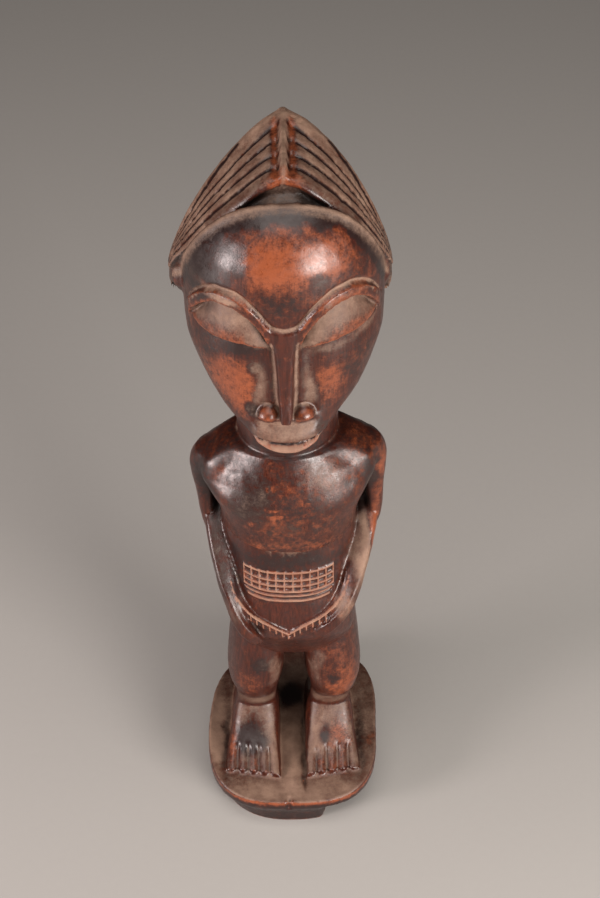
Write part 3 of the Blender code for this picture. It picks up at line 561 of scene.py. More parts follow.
def foot(side):
    """A flat foot, lofted from heel to toe."""
    forward = np.linspace(FOOT[0][0], FOOT[-1][0], 36)
    c, s = oval(FOOT_SQUARENESS, 40)
    rings = []
    for reach, (middle, half, high) in zip(forward, glide(FOOT, forward)):
        x = middle + c * half
        slant = TOE_SLANT * (x - TOE_INNER) * ramp(-5.0, 25.0, reach)
        height = np.where(s > 0, s * high, s * FOOT_SUNK)
        rings.append(body_point(x * side, -(reach - slant), height))
    return loft("foot", rings)


def hairline(x):
    """Angle of the hairline about the temple line, a little higher over the forehead."""
    return HAIRLINE + HAIRLINE_RISE * np.clip(1 - (x / HAIRLINE_HALF) ** 4, 0.0, 1.0)


def hair_edge(x):
    """Angle of the hair's front edge: a peaked visor in the middle, the hairline at the sides."""
    visor = HAIRLINE + VISOR_RISE * np.clip(1 - np.abs(x) / VISOR_HALF, 0.0, 1.0)
    return np.maximum(visor, hairline(x) + HAIRLINE_GAP)


def hair_surface(x, angle):
    """Distance of the hair's plain surface from the temple line."""
    across = np.abs(x) / np.where(x < 0, HAIR_LEFT, HAIR_RIGHT)
    rounds = zip(HAIR_LEFT_ROUND, HAIR_RIGHT_ROUND)
    power, fall = [np.where(x < 0, left, right) for left, right in rounds]
    fall = fall * (1 - HAIR_FULLNESS * ramp(125.0, 190.0, angle))
    share = (1 - np.clip(across, 0.0, 1.0) ** power) ** fall
    ridge = glide(RIDGE, angle)[:, 0]
    return HAIR_HUB + (ridge - HAIR_HUB) * share


def swung(x, radius, angle):
    """A point at a distance from the temple line, at an angle up from straight ahead."""
    turn = np.radians(angle)
    forward = TEMPLE_FORWARD + radius * np.cos(turn)
    return body_point(x, -forward, TEMPLE_HEIGHT + radius * np.sin(turn))


def skull():
    """The head, drawn in under the hair behind a raised fillet along the hairline."""
    head = stack("head", HEAD, step=0.5, count=200)
    points = points_of(head.data)
    x, forward, height = body_units(points)
    angle, radius = hair_place(forward, height)
    in_front = ramp(0.0, 4.0, forward) * ramp(6.0, 12.0, radius)
    past_line = np.radians(angle - hairline(x)) * radius
    fillet = FILLET_RISE * swell(past_line, -FILLET_HALF, FILLET_HALF) * in_front
    rounded = np.hypot(x, RECESS_ROUND)
    right_share = ramp(-RECESS_ROUND, RECESS_ROUND, x)
    gap = ramp(HAIRLINE_GAP, 3.5 * HAIRLINE_GAP, hair_edge(x) - hairline(x))
    under = (
        hair_surface(-rounded, angle) * (1 - right_share)
        + hair_surface(rounded, angle) * right_share
        - RIB_DEPTH
        - (HAIR_RECESS - RIB_DEPTH) * gap
    )
    behind = ramp(0.0, FILLET_HALF, past_line) * (1 - ramp(HAIR_NAPE - 6.0, HAIR_NAPE, angle))
    radius_now = radius + fillet - behind * np.clip(radius + fillet - under, 0.0, None)
    set_points(head.data, swung(x, radius_now, angle))
    return head


def temple(side):
    """The swelling that the hair ends in at a temple."""
    reach = HAIR_LEFT if side < 0 else HAIR_RIGHT
    keys = [(*row[:5], reach - row[5], row[6]) for row in TEMPLE]
    return stack("temple", keys, side)


def rib_relief(turn):
    """Height of the ribs at turn, which counts ribs back from the front edge."""
    share = turn - np.floor(turn)
    return RIB_DEPTH * (1 - np.abs(2 * share - 1) ** RIB_BLUNTNESS)


def hair_relief(x, angle, away):
    """Ribs that die out at the temples, the crest's thin fin and the band across the crown."""
    turn = (angle - hair_edge(x)) / RIB_ANGLE
    ribs = (rib_relief(turn) - RIB_DEPTH) * ramp(0.0, 0.25, away)
    on_band = swell(angle, BAND_ANGLE, RIB_ANGLE * 0.35) * ramp(0.0, 0.2, away)
    ribs = ribs * (1 - on_band) + BAND_RISE * on_band
    on_fin = 1 - ramp(FIN_HALF * 0.6, FIN_HALF * 1.4, np.abs(x))
    return ribs * (1 - on_fin) + np.maximum(ribs, FIN_RISE) * on_fin


def hair():
    """The crested cap of ribbed hair, swung about the line through the temples."""
    across = np.sin(np.linspace(-np.pi / 2, np.pi / 2, 141))
    across = np.sort(np.concatenate([across, np.linspace(-0.06, 0.06, 24)]))
    x = across * np.where(across < 0, HAIR_LEFT, HAIR_RIGHT)
    away = 1 - np.abs(across)
    start = hair_edge(x)
    end = HAIR_NAPE + HAIR_LOBE * (1 - ramp(0.02, 0.16, away))
    rings = []
    for share in np.linspace(0.0, 1.0, 300):
        angle = start + share * (end - start)
        outer = hair_surface(x, angle) + hair_relief(x, angle, away)
        inner = np.maximum(outer - HAIR_DEPTH, 1.0)
        inside = swung(x[::-1] * HAIR_INSIDE, inner[::-1], angle[::-1])
        rings.append(np.vstack([swung(x, outer, angle), inside]))
    return loft("hair", rings)


def plinth():
    """The rounded plinth: a foot, an overhanging lip and the top that the feet stand on."""
    half = PLINTH_WIDTH / 2
    lip_low = PLINTH_HEIGHT - PLINTH_LIP
    rows = [
        (-0.003, PLINTH_UNDERCUT),
        (0.0, PLINTH_UNDERCUT),
        (lip_low * 0.6, PLINTH_UNDERCUT * 0.8),
        (lip_low, PLINTH_UNDERCUT * 0.1),
        (lip_low + 0.0012, 0.0),
        (PLINTH_HEIGHT - 0.0004, 0.0),
        (PLINTH_HEIGHT, 0.0006),
    ]
    rings = []
    for height in np.linspace(rows[0][0], rows[-1][0], 24):
        inset = float(np.interp(height, *zip(*rows)))
        both = PLINTH_FOOT_SQUARENESS, PLINTH_SQUARENESS
        squareness = np.interp(height, (0.0, lip_low), both)
        reaches = [reach - inset for reach in (half, PLINTH_FRONT, PLINTH_BACK)]
        x, y = section(*reaches, squareness, 160)
        share = (x / half - BREAK_START) / (BREAK_END - BREAK_START)
        in_break = ramp(0.0, 0.32, share) * (1 - ramp(0.8, 1.0, share)) * (y < 0)
        below = 1 - ramp(lip_low - 0.0012, lip_low + 0.0008, height)
        shrink = 1 - in_break * below * BREAK_DEPTH / np.hypot(x, y)
        skew = PLINTH_SKEW * np.clip(y, 0.0, None)
        level = np.full(len(x), height)
        rings.append(np.stack([x * shrink + skew, y * shrink, level], axis=1))
    return loft("plinth", rings)


def blanks():
    """Every form that the block is roughed out to."""
    made = [plinth(), stack("trunk", TRUNK), stack("neck", NECK), skull(), hair(), fingers()]
    for side in (-1.0, 1.0):
        made += [
            upper_arm(side),
            stack("shoulder_plate", SHOULDER_PLATE, side),
            forearm(side),
            forearm_core(side),
            temple(side),
            stack("leg", LEG, side),
            foot(side),
        ]
    return made


def fused(pieces, voxel):
    """One mesh over the union of the pieces."""
    bm = bmesh.new()
    for piece in pieces:
        bm.from_mesh(piece.data)
        bpy.data.objects.remove(piece)
    figure = new_object("figure", bm)
    remesh = figure.modifiers.new("Fuse", "REMESH")
    remesh.mode = "VOXEL"
    remesh.voxel_size = voxel
    settle(figure)
    return figure


def settle(figure):
    """Applies the modifiers of an object."""
    seen = figure.evaluated_get(bpy.context.evaluated_depsgraph_get())
    mesh = bpy.data.meshes.new_from_object(seen)
    figure.modifiers.clear()
    figure.data = mesh


def points_of(mesh):
    """The places of a mesh's points, in metres."""
    points = np.zeros(len(mesh.vertices) * 3, np.float32)
    mesh.vertices.foreach_get("co", points)
    return points.reshape(-1, 3).astype(float)


def set_points(mesh, points):
    """Moves a mesh's points to new places."""
    mesh.vertices.foreach_set("co", points.astype(np.float32).ravel())
    mesh.update()


def links(mesh):
    """The two ends of every edge, and how many edges meet at each point."""
    edges = np.zeros(len(mesh.edges) * 2, np.int64)
    mesh.edges.foreach_get("vertices", edges)
    first, second = edges.reshape(-1, 2).T
    count = np.bincount(np.concatenate([first, second]), minlength=len(mesh.vertices))
    return first, second, count


def neighbour_mean(values, first, second, count):
    """The mean of the values at each point's neighbours."""
    if values.ndim > 1:
        columns = [neighbour_mean(column, first, second, count) for column in values.T]
        return np.stack(columns, axis=1)
    total = np.bincount(first, values[second], len(values))
    return (total + np.bincount(second, values[first], len(values))) / count


def smoothed(mesh, points, rounds):
    """The points drawn towards their neighbours, rounds times, keeping the form's volume."""
    near = links(mesh)
    for pull in (0.5, -0.52) * rounds:
        points = points + (neighbour_mean(points, *near) - points) * pull
    return points


def normals_of(mesh):
    """The way the surface faces at each point."""
    normals = np.zeros(len(mesh.vertices) * 3, np.float32)
    mesh.vertex_normals.foreach_get("vector", normals)
    return normals.reshape(-1, 3).astype(float)


def eye_edges(x):
    """Heights of the brow's two edges and of the heavy lid's lower edge."""
    top, low, lid = [glide(keys, np.abs(x))[:, 0] for keys in (BROW_TOP, BROW_LOW, LID_LOW)]
    tilt = EYE_TILT * x * ramp(8.0, 24.0, np.abs(x))
    return top + tilt, low + tilt, lid + tilt


def eye_relief(across, height, low, lid):
    """The socket under the brow, and the heavy lid that swells out of it to a crisp lower edge."""
    drop = np.clip((low - height) / np.maximum(low - lid, 0.5), 0.0, 1.0)
    fullness = 0.7 + 0.3 * swell(across, 17.0, 9.0)
    lid_swell = (SOCKET_DEPTH + LID_PROUD) * fullness * np.sin(drop * np.pi / 2) ** 1.1
    corner = SOCKET_CORNER * (1 - ramp(4.0, 10.0, across)) * drop
    return lid_swell - SOCKET_DEPTH - corner


def nose_relief(across, height, face):
    """The long flat-topped nose with grooves beside it and small round wings, laid on the face."""
    half, high = glide(NOSE, height).T
    length = ramp(NOSE_LOW - 0.5, NOSE_LOW + 0.5, height) * (1 - ramp(236.0, 241.0, height))
    beside = swell(across, half + 1.5, 0.9) * length * (1 - ramp(228.0, 233.0, height))
    face = face - NOSE_GROOVE * beside
    ridge = (1 - ramp(-0.3, 0.9, across - half)) * length
    away = np.hypot((across - WING_OUT) / WING_HALF[0], (height - WING_UP) / WING_HALF[1])
    wing = WING_PROUD * np.sqrt(np.clip(1 - away**2, 0.0, 1.0))
    rim = 0.5 * swell(away, 1.25, 0.22) * ramp(WING_UP - 1.0, WING_UP + 1.0, height)
    above = ramp(NOSE_LOW - 0.5, NOSE_LOW + 0.5, height)
    face = face + (wing - rim) * above * (1 - ridge)
    return face * (1 - ridge) + high * ridge


def mouth_relief(across, height):
    """A hollow upper lip, the line of the mouth and a full lower lip."""
    near = 1 - ramp(MOUTH_HALF - 2.5, MOUTH_HALF, across)
    taper = np.clip(1 - (across / MOUTH_HALF) ** 2, 0.0, 1.0)
    up = height - MOUTH_LINE - MOUTH_BOW * across**2
    hollow = -0.6 * swell(up, 7.0, 1.4)
    upper = 0.8 * swell(up, 2.6, 3.0)
    line = -1.7 * swell(up, 0.0, 0.6)
    full = 0.2 + 0.8 * taper
    lower = LIP_PROUD * full * swell(up, -0.5 - 1.6 * taper, 0.5 + 1.4 * taper)
    under = -0.9 * swell(up, -4.9, 1.2)
    return near * (hollow + upper + line + lower + under)


def face_relief(x, forward, height):
    """Carving of the face, outward in body units."""
    across = np.abs(x)
    facing = ramp(4.0, 9.0, forward) * ramp(176.0, 184.0, height)
    top, low, lid = eye_edges(x)
    inside = 1 - ramp(28.5, 31.5, across)
    in_eye = (
        ramp(-0.3, 0.5, low - height)
        * ramp(-0.4, 0.4, height - lid)
        * ramp(3.6, 5.2, across)
        * (1 - ramp(28.0, 30.5, across))
    )
    band = BROW_PROUD * ramp(-0.5, 0.5, top - height) * ramp(-0.3, 0.5, height - low)
    groove = -BROW_GROOVE * swell(height, top + 0.9, 0.8)
    below = 1 - ramp(-0.4, 0.4, height - lid)
    cheek = -LID_STEP * below * np.exp(-np.clip(lid - height, 0, None) / 4.5)
    hollow = -1.2 * swell(across, 8.0, 5.0) * ramp(196.0, 206.0, height) * (
        1 - ramp(226.0, 233.0, height)
    )
    face = (band + groove + cheek) * inside + hollow
    face = face * (1 - in_eye) + eye_relief(across, height, low, lid) * in_eye
    face = nose_relief(across, height, face)
    return (face + mouth_relief(across, height)) * facing


def hair_place(forward, height):
    """Angle of a point about the temple line, in degrees up from straight ahead, and distance."""
    up = height - TEMPLE_HEIGHT
    ahead = forward - TEMPLE_FORWARD
    angle = np.degrees(np.arctan2(up, ahead))
    return np.where(angle < -90.0, angle + 360.0, angle), np.hypot(up, ahead)


def trunk_relief(x, forward, height):
    """The chest's edge over the belly, the neck's ring, and the spine and seat on the back."""
    across = np.abs(x)
    edge = CHEST_LOW + CHEST_BOW * across**2
    below = 1 - ramp(-0.7, 0.7, height - edge)
    step = CHEST_STEP * below * np.exp(-np.clip(edge - height, 0, None) / 11.0)
    front = -step * ramp(4.0, 9.0, forward) * (1 - ramp(20.0, 23.0, across))
    near_neck = 1 - ramp(20.0, 22.0, np.hypot(x, forward))
    ring = -NECK_GROOVE * swell(height, NECK_FOOT, 0.8) * near_neck
    upper = ramp(146.0, 156.0, height) * (1 - ramp(166.0, 170.0, height))
    fall = np.clip(np.hypot(across, CHEST_KEEL) - CHEST_KEEL, 0.0, 16.0)
    front -= CHEST_FALL * fall * upper * ramp(8.0, 15.0, forward)
    spine = -1.3 * swell(x, 0.0, 2.2) * ramp(92.0, 104.0, height)
    spine = spine * (1 - ramp(150.0, 162.0, height))
    seat = -2.2 * swell(x, 0.0, 1.8) * ramp(56.0, 66.0, height) * (1 - ramp(86.0, 96.0, height))
    blades = 1.0 * swell(across, 12.0, 6.0) * swell(height, 148.0, 10.0)
    return front + ring + ramp(4.0, 9.0, -forward) * (spine + seat + blades)


def toe_relief(x, forward, height):
    """Grooves between the toes."""
    across = np.abs(x)
    reach = forward + TOE_SLANT * (across - TOE_INNER)
    share = (across - TOE_INNER) / TOES_WIDTH * TOES
    groove = swell(share - np.round(share), 0.0, TOE_GROOVE_HALF)
    inside = ramp(0.4, 0.6, share) * (1 - ramp(TOES - 0.6, TOES - 0.4, share))
    return -TOE_GROOVE * groove * inside * ramp(15.5, 19.0, reach) * ramp(0.3, 1.5, height) * (
        1 - ramp(9.0, 12.0, height)
    )


def notch_relief(points):
    """The chip in the plinth's front lip, in metres."""
    x, y, height = points.T
    on_lip = ramp(PLINTH_HEIGHT - PLINTH_LIP, PLINTH_HEIGHT - PLINTH_LIP + 0.0015, height)
    at_front = ramp(-PLINTH_FRONT + 0.004, -PLINTH_FRONT + 0.0015, y)
    return -NOTCH_DEPTH * swell(x, NOTCH_AT, NOTCH_HALF) * on_lip * at_front


def relief(points):
    """How far each point is carved outward, in metres."""
    x, forward, height = body_units(points)
    on_trunk = (height > 54) & (height < 172)
    on_head = height >= 176
    on_foot = (height > 0.2) & (height < 14)
    out = np.zeros(len(points))
    reliefs = (on_trunk, trunk_relief), (on_head, face_relief), (on_foot, toe_relief)
    for where, carving in reliefs:
        out[where] += carving(x[where], forward[where], height[where])
    return out * UNIT + notch_relief(points)


def dished(points):
    """Raises the plinth's sides, so that its top is a shallow dish."""
    share = np.abs(points[:, 0]) / (PLINTH_WIDTH / 2)
    near_top = ramp(PLINTH_HEIGHT - PLINTH_LIP, PLINTH_HEIGHT - 0.001, points[:, 2])
    on_plinth = points[:, 2] < PLINTH_HEIGHT + 0.0012
    points = points.copy()
    points[:, 2] += DISH_RISE * share**3 * near_top * on_plinth
    return points


def leaned(points):
    """Shifts the parts a little off the axis and off the level, as the hand-carving left them."""
    x, _, height = body_units(points)
    points = points.copy()
    points[:, 0] += glide(LEAN, height)[:, 0] * UNIT
    points[:, 2] += SHOULDER_TILT * x * swell(height, SHOULDER_HEIGHT, 12.0) * UNIT
    return points


def cut_flat(figure):
    """Cuts the underside off flat at height 0."""
    bm = bmesh.new()
    bm.from_mesh(figure.data)
    cut = bmesh.ops.bisect_plane(
        bm,
        geom=bm.verts[:] + bm.edges[:] + bm.faces[:],
        plane_co=(0, 0, 0),
        plane_no=(0, 0, -1),
        clear_outer=True,
    )
    rim = [e for e in cut["geom_cut"] if isinstance(e, bmesh.types.BMEdge)]
    bmesh.ops.holes_fill(bm, edges=rim)
    bmesh.ops.triangulate(bm, faces=bm.faces)
    bmesh.ops.recalc_face_normals(bm, faces=bm.faces)
    bm.to_mesh(figure.data)
    bm.free()


def thinned(figure, triangles):
    """Keeps only as many triangles as asked, most of them where the carving is."""
    thin = figure.modifiers.new("Thin", "DECIMATE")
    thin.ratio = min(1.0, triangles / len(figure.data.polygons))
    settle(figure)


# The knife's small work, in body units as above
SCAR_ROWS = (113.8, 110.6, 108.2, 105.9, 104.2, 102.4)  # heights of the ridges on the belly
SCAR_ROW_BOW = 0.006  # how fast they rise to the sides
SCAR_ROW_HALF = (0.66, 0.52, 0.50, 0.52, 0.42, 0.48)  # half the width of each
SCAR_COLUMNS = 11  # pits in a row
SCAR_GRID_END = 3  # the row where the upright ridges end
SCAR_PITCH = 3.05  # from one upright ridge to the next, measured round the belly
SCAR_COLUMN_HALF = 0.34
SCAR_MIDDLE = -0.45
SCAR_TAPER = 0.16  # how fast the lowest ridges get shorter, in columns a millimetre
SCAR_LEVEL = 109.0  # where the belly's girth is taken
GIRTH_REACH = TRUNK[8][1] * 0.97  # how far out to the sides it is taken
FINGER_PITCH = 2.75  # from one finger to the next, along the band
FINGER_RIDGE_HALF = 0.38
FINGER_RIM = 0.8  # the plain rim above the fingers
FINGER_LENGTH = 3.2
FINGER_REACH = 14.5  # how far out from the V's tip the fingers are cut
RIDGE_MIDDLE = 0.0  # the ridge on the plinth between the feet
RIDGE_HALF = 2.8
RIDGE_PROUD = 0.9
CHANNEL_AT = 4.7  # the groove beside the left foot
CHANNEL_HALF = 0.9
CHANNEL_DEPTH = 1.1
CREST_HALF = 1.0  # half the width of the thin fin along the crest
CREST_PROUD = 0.9
CREST_CUT = 1.0  # how deep the hair is cut on both sides of it
CREST_CUT_AT = 2.5
CREST_CUT_HALF = 1.1
CREST_END = 106.0  # the angle at which it dies out
HAIR_NOTCH = 0.22  # depth of the small chips along the ribs
HAIR_NOTCH_FROM = 240.0  # the height above which they lie
# Areas of the small work: lowest, highest, least forward, farthest out to a side
PATTERN_AREA = (86.0, 124.0, 5.0, 22.0)
FINE_AREAS = ((84.0, 122.0, 8.0, 22.0), (262.0, 400.0, -20.0, 6.0))  # belly and crest
TOOL_FLAT = (4.5, 4.5, 11.0)  # how far apart the flats left by the tool are, across and along
WAVER = (1.6, 1.6, 4.0)  # the smaller unevenness of a knife's strokes
WAVER_SHARE = 0.25  # its share of the tool marks

# Resolution of the piece
FINE_VOXEL = 0.00055  # grain of the fused form, in metres
FINE_TRIANGLES = 186000  # the most faces that it keeps
NOISE_CELLS = 24  # cells to a side before wander() repeats


def noise_field(seed):
    """A block of random values that repeats, for wander()."""
    return np.random.default_rng(seed).uniform(-1.0, 1.0, (NOISE_CELLS,) * 3)


def wander(points, spacing, seed):
    """Smooth random values from -1 to 1 that change over about spacing, which is in body units."""
    field = noise_field(seed)
    place = points / (np.asarray(spacing, float) * UNIT)
    cell = np.floor(place).astype(int)
    part = place - cell
    part = part * part * (3 - 2 * part)
    total = np.zeros(len(points))
    for corner in np.ndindex(2, 2, 2):
        weight = np.prod(np.where(corner, part, 1 - part), axis=1)
        i, j, k = ((cell + corner) % NOISE_CELLS).T
        total += weight * field[i, j, k]
    return total


def girth(x):
    """Distance round the belly's front from its middle, at a place across it."""
    across = np.linspace(-GIRTH_REACH, GIRTH_REACH, 400)
    front = trunk_front(across, np.full(len(across), SCAR_LEVEL))
    step = np.hypot(np.diff(across), np.diff(front))
    run = np.concatenate([[0.0], np.cumsum(step)])
    return np.interp(x, across, run - np.interp(0.0, across, run))


def scars(x, forward, height):
    """How far a point is on the ridges across the belly and how far in the pits between them."""
    place = girth(x - SCAR_MIDDLE) / SCAR_PITCH + SCAR_COLUMNS / 2
    level = height - SCAR_ROW_BOW * x**2
    rows = np.zeros(len(x))
    for row, half in zip(SCAR_ROWS, SCAR_ROW_HALF):
        rows = np.maximum(rows, swell(level, row, half))
    columns = swell(place - np.round(place), 0.0, SCAR_COLUMN_HALF / SCAR_PITCH)
    grid_end = SCAR_ROWS[SCAR_GRID_END]
    columns *= ramp(grid_end - 0.4, grid_end, level)
    short = SCAR_TAPER * np.clip(grid_end - level, 0.0, None)
    inside = (
        ramp(short - 0.2, short, place)
        * (1 - ramp(SCAR_COLUMNS - short, SCAR_COLUMNS - short + 0.2, place))
        * ramp(SCAR_ROWS[-1] - 1.0, SCAR_ROWS[-1] - 0.4, level)
        * (1 - ramp(SCAR_ROWS[0] + 0.6, SCAR_ROWS[0] + 1.2, level))
        * ramp(8.0, 12.0, forward)
    )
    ridges = np.maximum(rows, columns)
    between = ramp(SCAR_ROWS[-1], SCAR_ROWS[-1] + 0.3, level)
    between *= 1 - ramp(SCAR_ROWS[0] - 0.3, SCAR_ROWS[0], level)
    return ridges * inside, (1 - ridges) * inside * between


def finger_marks(x, forward, height):
    """How far a point is on the rim and the ridges of the fingers, and how far in their pits."""
    reach = max(row[0] for row in FINGERS)
    out = x - FINGERS_MIDDLE * (1 - np.clip(x / reach, -1.0, 1.0) ** 2)
    rim = glide(FINGERS, np.abs(out))[:, 0]
    along = np.hypot(out, (rim - FINGERS[0][1])) * np.sign(out)
    share = along / FINGER_PITCH
    drop = rim - height
    near = (1 - ramp(FINGER_REACH, FINGER_REACH + 1.0, np.abs(out))) * ramp(12.0, 16.0, forward)
    fingers_there = (
        ramp(FINGER_RIM - 0.15, FINGER_RIM + 0.15, drop)
        * (1 - ramp(FINGER_LENGTH, FINGER_LENGTH + 0.6, drop))
        * near
    )
    ridge = swell(share - np.round(share), 0.0, FINGER_RIDGE_HALF / FINGER_PITCH)
    on_rim = ramp(-0.3, 0.1, drop) * (1 - ramp(FINGER_RIM - 0.2, FINGER_RIM + 0.2, drop))
    on_rim = on_rim * ramp(12.0, 16.0, forward) * (np.abs(out) < reach - 1)
    return np.maximum(ridge * fingers_there, on_rim), (1 - ridge) * fingers_there


def plinth_relief(x, forward, height):
    """The ridge and the groove between the feet."""
    between = ramp(-8.0, 4.0, forward) * (1 - ramp(27.0, 33.0, forward))
    on_top = (np.abs(height) < 3.0) * (np.abs(x) < 9.0)
    ridge = RIDGE_PROUD * swell(x, RIDGE_MIDDLE, RIDGE_HALF)
    groove = CHANNEL_DEPTH * swell(x, CHANNEL_AT, CHANNEL_HALF)
    return (ridge - groove) * between * on_top


def crest_relief(x, forward, height):
    """The fin along the crest, from the visor's peak to the crown, with a cut on both sides."""
    angle, radius = hair_place(forward, height)
    past = angle - hair_edge(x)
    on_top = (height > 255) * ramp(-4.0, -3.0, radius - hair_surface(x, angle))
    along = ramp(1.0, 4.0, past) * (1 - ramp(CREST_END - 6.0, CREST_END + 4.0, angle)) * on_top
    cut = CREST_CUT * swell(np.abs(x), CREST_CUT_AT, CREST_CUT_HALF)
    return (CREST_PROUD * swell(x, 0.0, CREST_HALF) - cut) * along


def within(area, x, forward, height):
    """Which points are in an area of the small work."""
    low, high, ahead, out = area
    return (height > low) & (height < high) & (forward > ahead) & (np.abs(x) < out)


def small_work(points, carving):
    """How far each point is carved outward by the knife's small work, in metres."""
    x, forward, height = body_units(points)
    out = np.zeros(len(points))
    belly = within(PATTERN_AREA, x, forward, height)
    at = x[belly], forward[belly], height[belly]
    ridges, pits = scars(*at)
    out[belly] += (carving.scar_height * ridges - carving.scar_depth * pits) / UNIT
    out[belly] -= carving.finger_depth / UNIT * finger_marks(*at)[1]
    out += plinth_relief(x, forward, height) + crest_relief(x, forward, height)
    notched = ramp(0.25, 0.7, wander(points, 1.5, 3))
    notched *= ramp(HAIR_NOTCH_FROM, HAIR_NOTCH_FROM + 6.0, height)
    angle, radius = hair_place(forward, height)
    on_hair = ramp(-2.0, -1.0, radius - hair_surface(x, angle)) * (angle > hair_edge(x) + 2.0)
    out -= HAIR_NOTCH * notched * on_hair
    flats = wander(points, TOOL_FLAT, 1)
    waver = wander(points, WAVER, 2)
    marks = (1 - WAVER_SHARE) * np.abs(flats) + WAVER_SHARE * waver
    return out * UNIT - carving.tool_marks * marks


def subdivided(figure, inside):
    """Splits the faces whose points are all chosen, so that fine cuts have points to move."""
    bm = bmesh.new()
    bm.from_mesh(figure.data)
    bm.verts.ensure_lookup_table()
    picked = set(np.nonzero(inside)[0].tolist())
    edges = [e for e in bm.edges if e.verts[0].index in picked and e.verts[1].index in picked]
    bmesh.ops.subdivide_edges(bm, edges=edges, cuts=1, use_grid_fill=True)
    bmesh.ops.triangulate(bm, faces=bm.faces)
    bm.to_mesh(figure.data)
    bm.free()


def fine_figure(carving):
    """The whole figure, carved as the CAD solid is and then with the knife's small work."""
    figure = fused(blanks(), FINE_VOXEL)
    points = smoothed(figure.data, points_of(figure.data), 4)
    set_points(figure.data, dished(points))
    points = points_of(figure.data)
    carved = points + normals_of(figure.data) * relief(points)[:, None]
    set_points(figure.data, carved)
    cut_flat(figure)
    place = body_units(points_of(figure.data))
    subdivided(figure, np.any([within(area, *place) for area in FINE_AREAS], axis=0))
    points = points_of(figure.data)
    above = ramp(0.0, 0.0015, points[:, 2])
    out = small_work(points, carving) * above
    carved = points + normals_of(figure.data) * out[:, None]
    set_points(figure.data, leaned(carved))
    thinned(figure, FINE_TRIANGLES)
    return figure


def sheltered(points, normals, bvh, reach, rays=24):
    """How far each point is hidden from the open by its surroundings, from 0 to 1."""
    turn = np.arange(rays) * math.pi * (3 - math.sqrt(5))
    up = np.sqrt((np.arange(rays) + 0.5) / rays)
    flat = np.sqrt(1 - up**2)
    spread = np.stack([flat * np.cos(turn), flat * np.sin(turn), up], axis=1)
    hidden = np.zeros(len(points))
    for i, (point, normal) in enumerate(zip(points, normals)):
        frame_up = Vector(normal)
        side = frame_up.orthogonal().normalized()
        other = frame_up.cross(side)
        start = Vector(point) + frame_up * 0.0004
        for a, b, c in spread:
            way = side * a + other * b + frame_up * c
            hit = bvh.ray_cast(start, way, reach)
            if hit[0] is not None:
                hidden[i] += 1 - hit[3] / reach
    return hidden / rays


def evened(mesh, values, rounds):
    """Values at the points, evened out with their neighbours' values."""
    near = links(mesh)
    for _ in range(rounds):
        values = 0.5 * values + 0.5 * neighbour_mean(values, *near)
    return values


def hollowness(mesh, points, rounds):
    """How hollow, above 0, or proud, below 0, the surface is at each point, in body units."""
    away = evened(mesh, points, rounds) - points
    return np.einsum("ij,ij->i", away, normals_of(mesh)) / UNIT


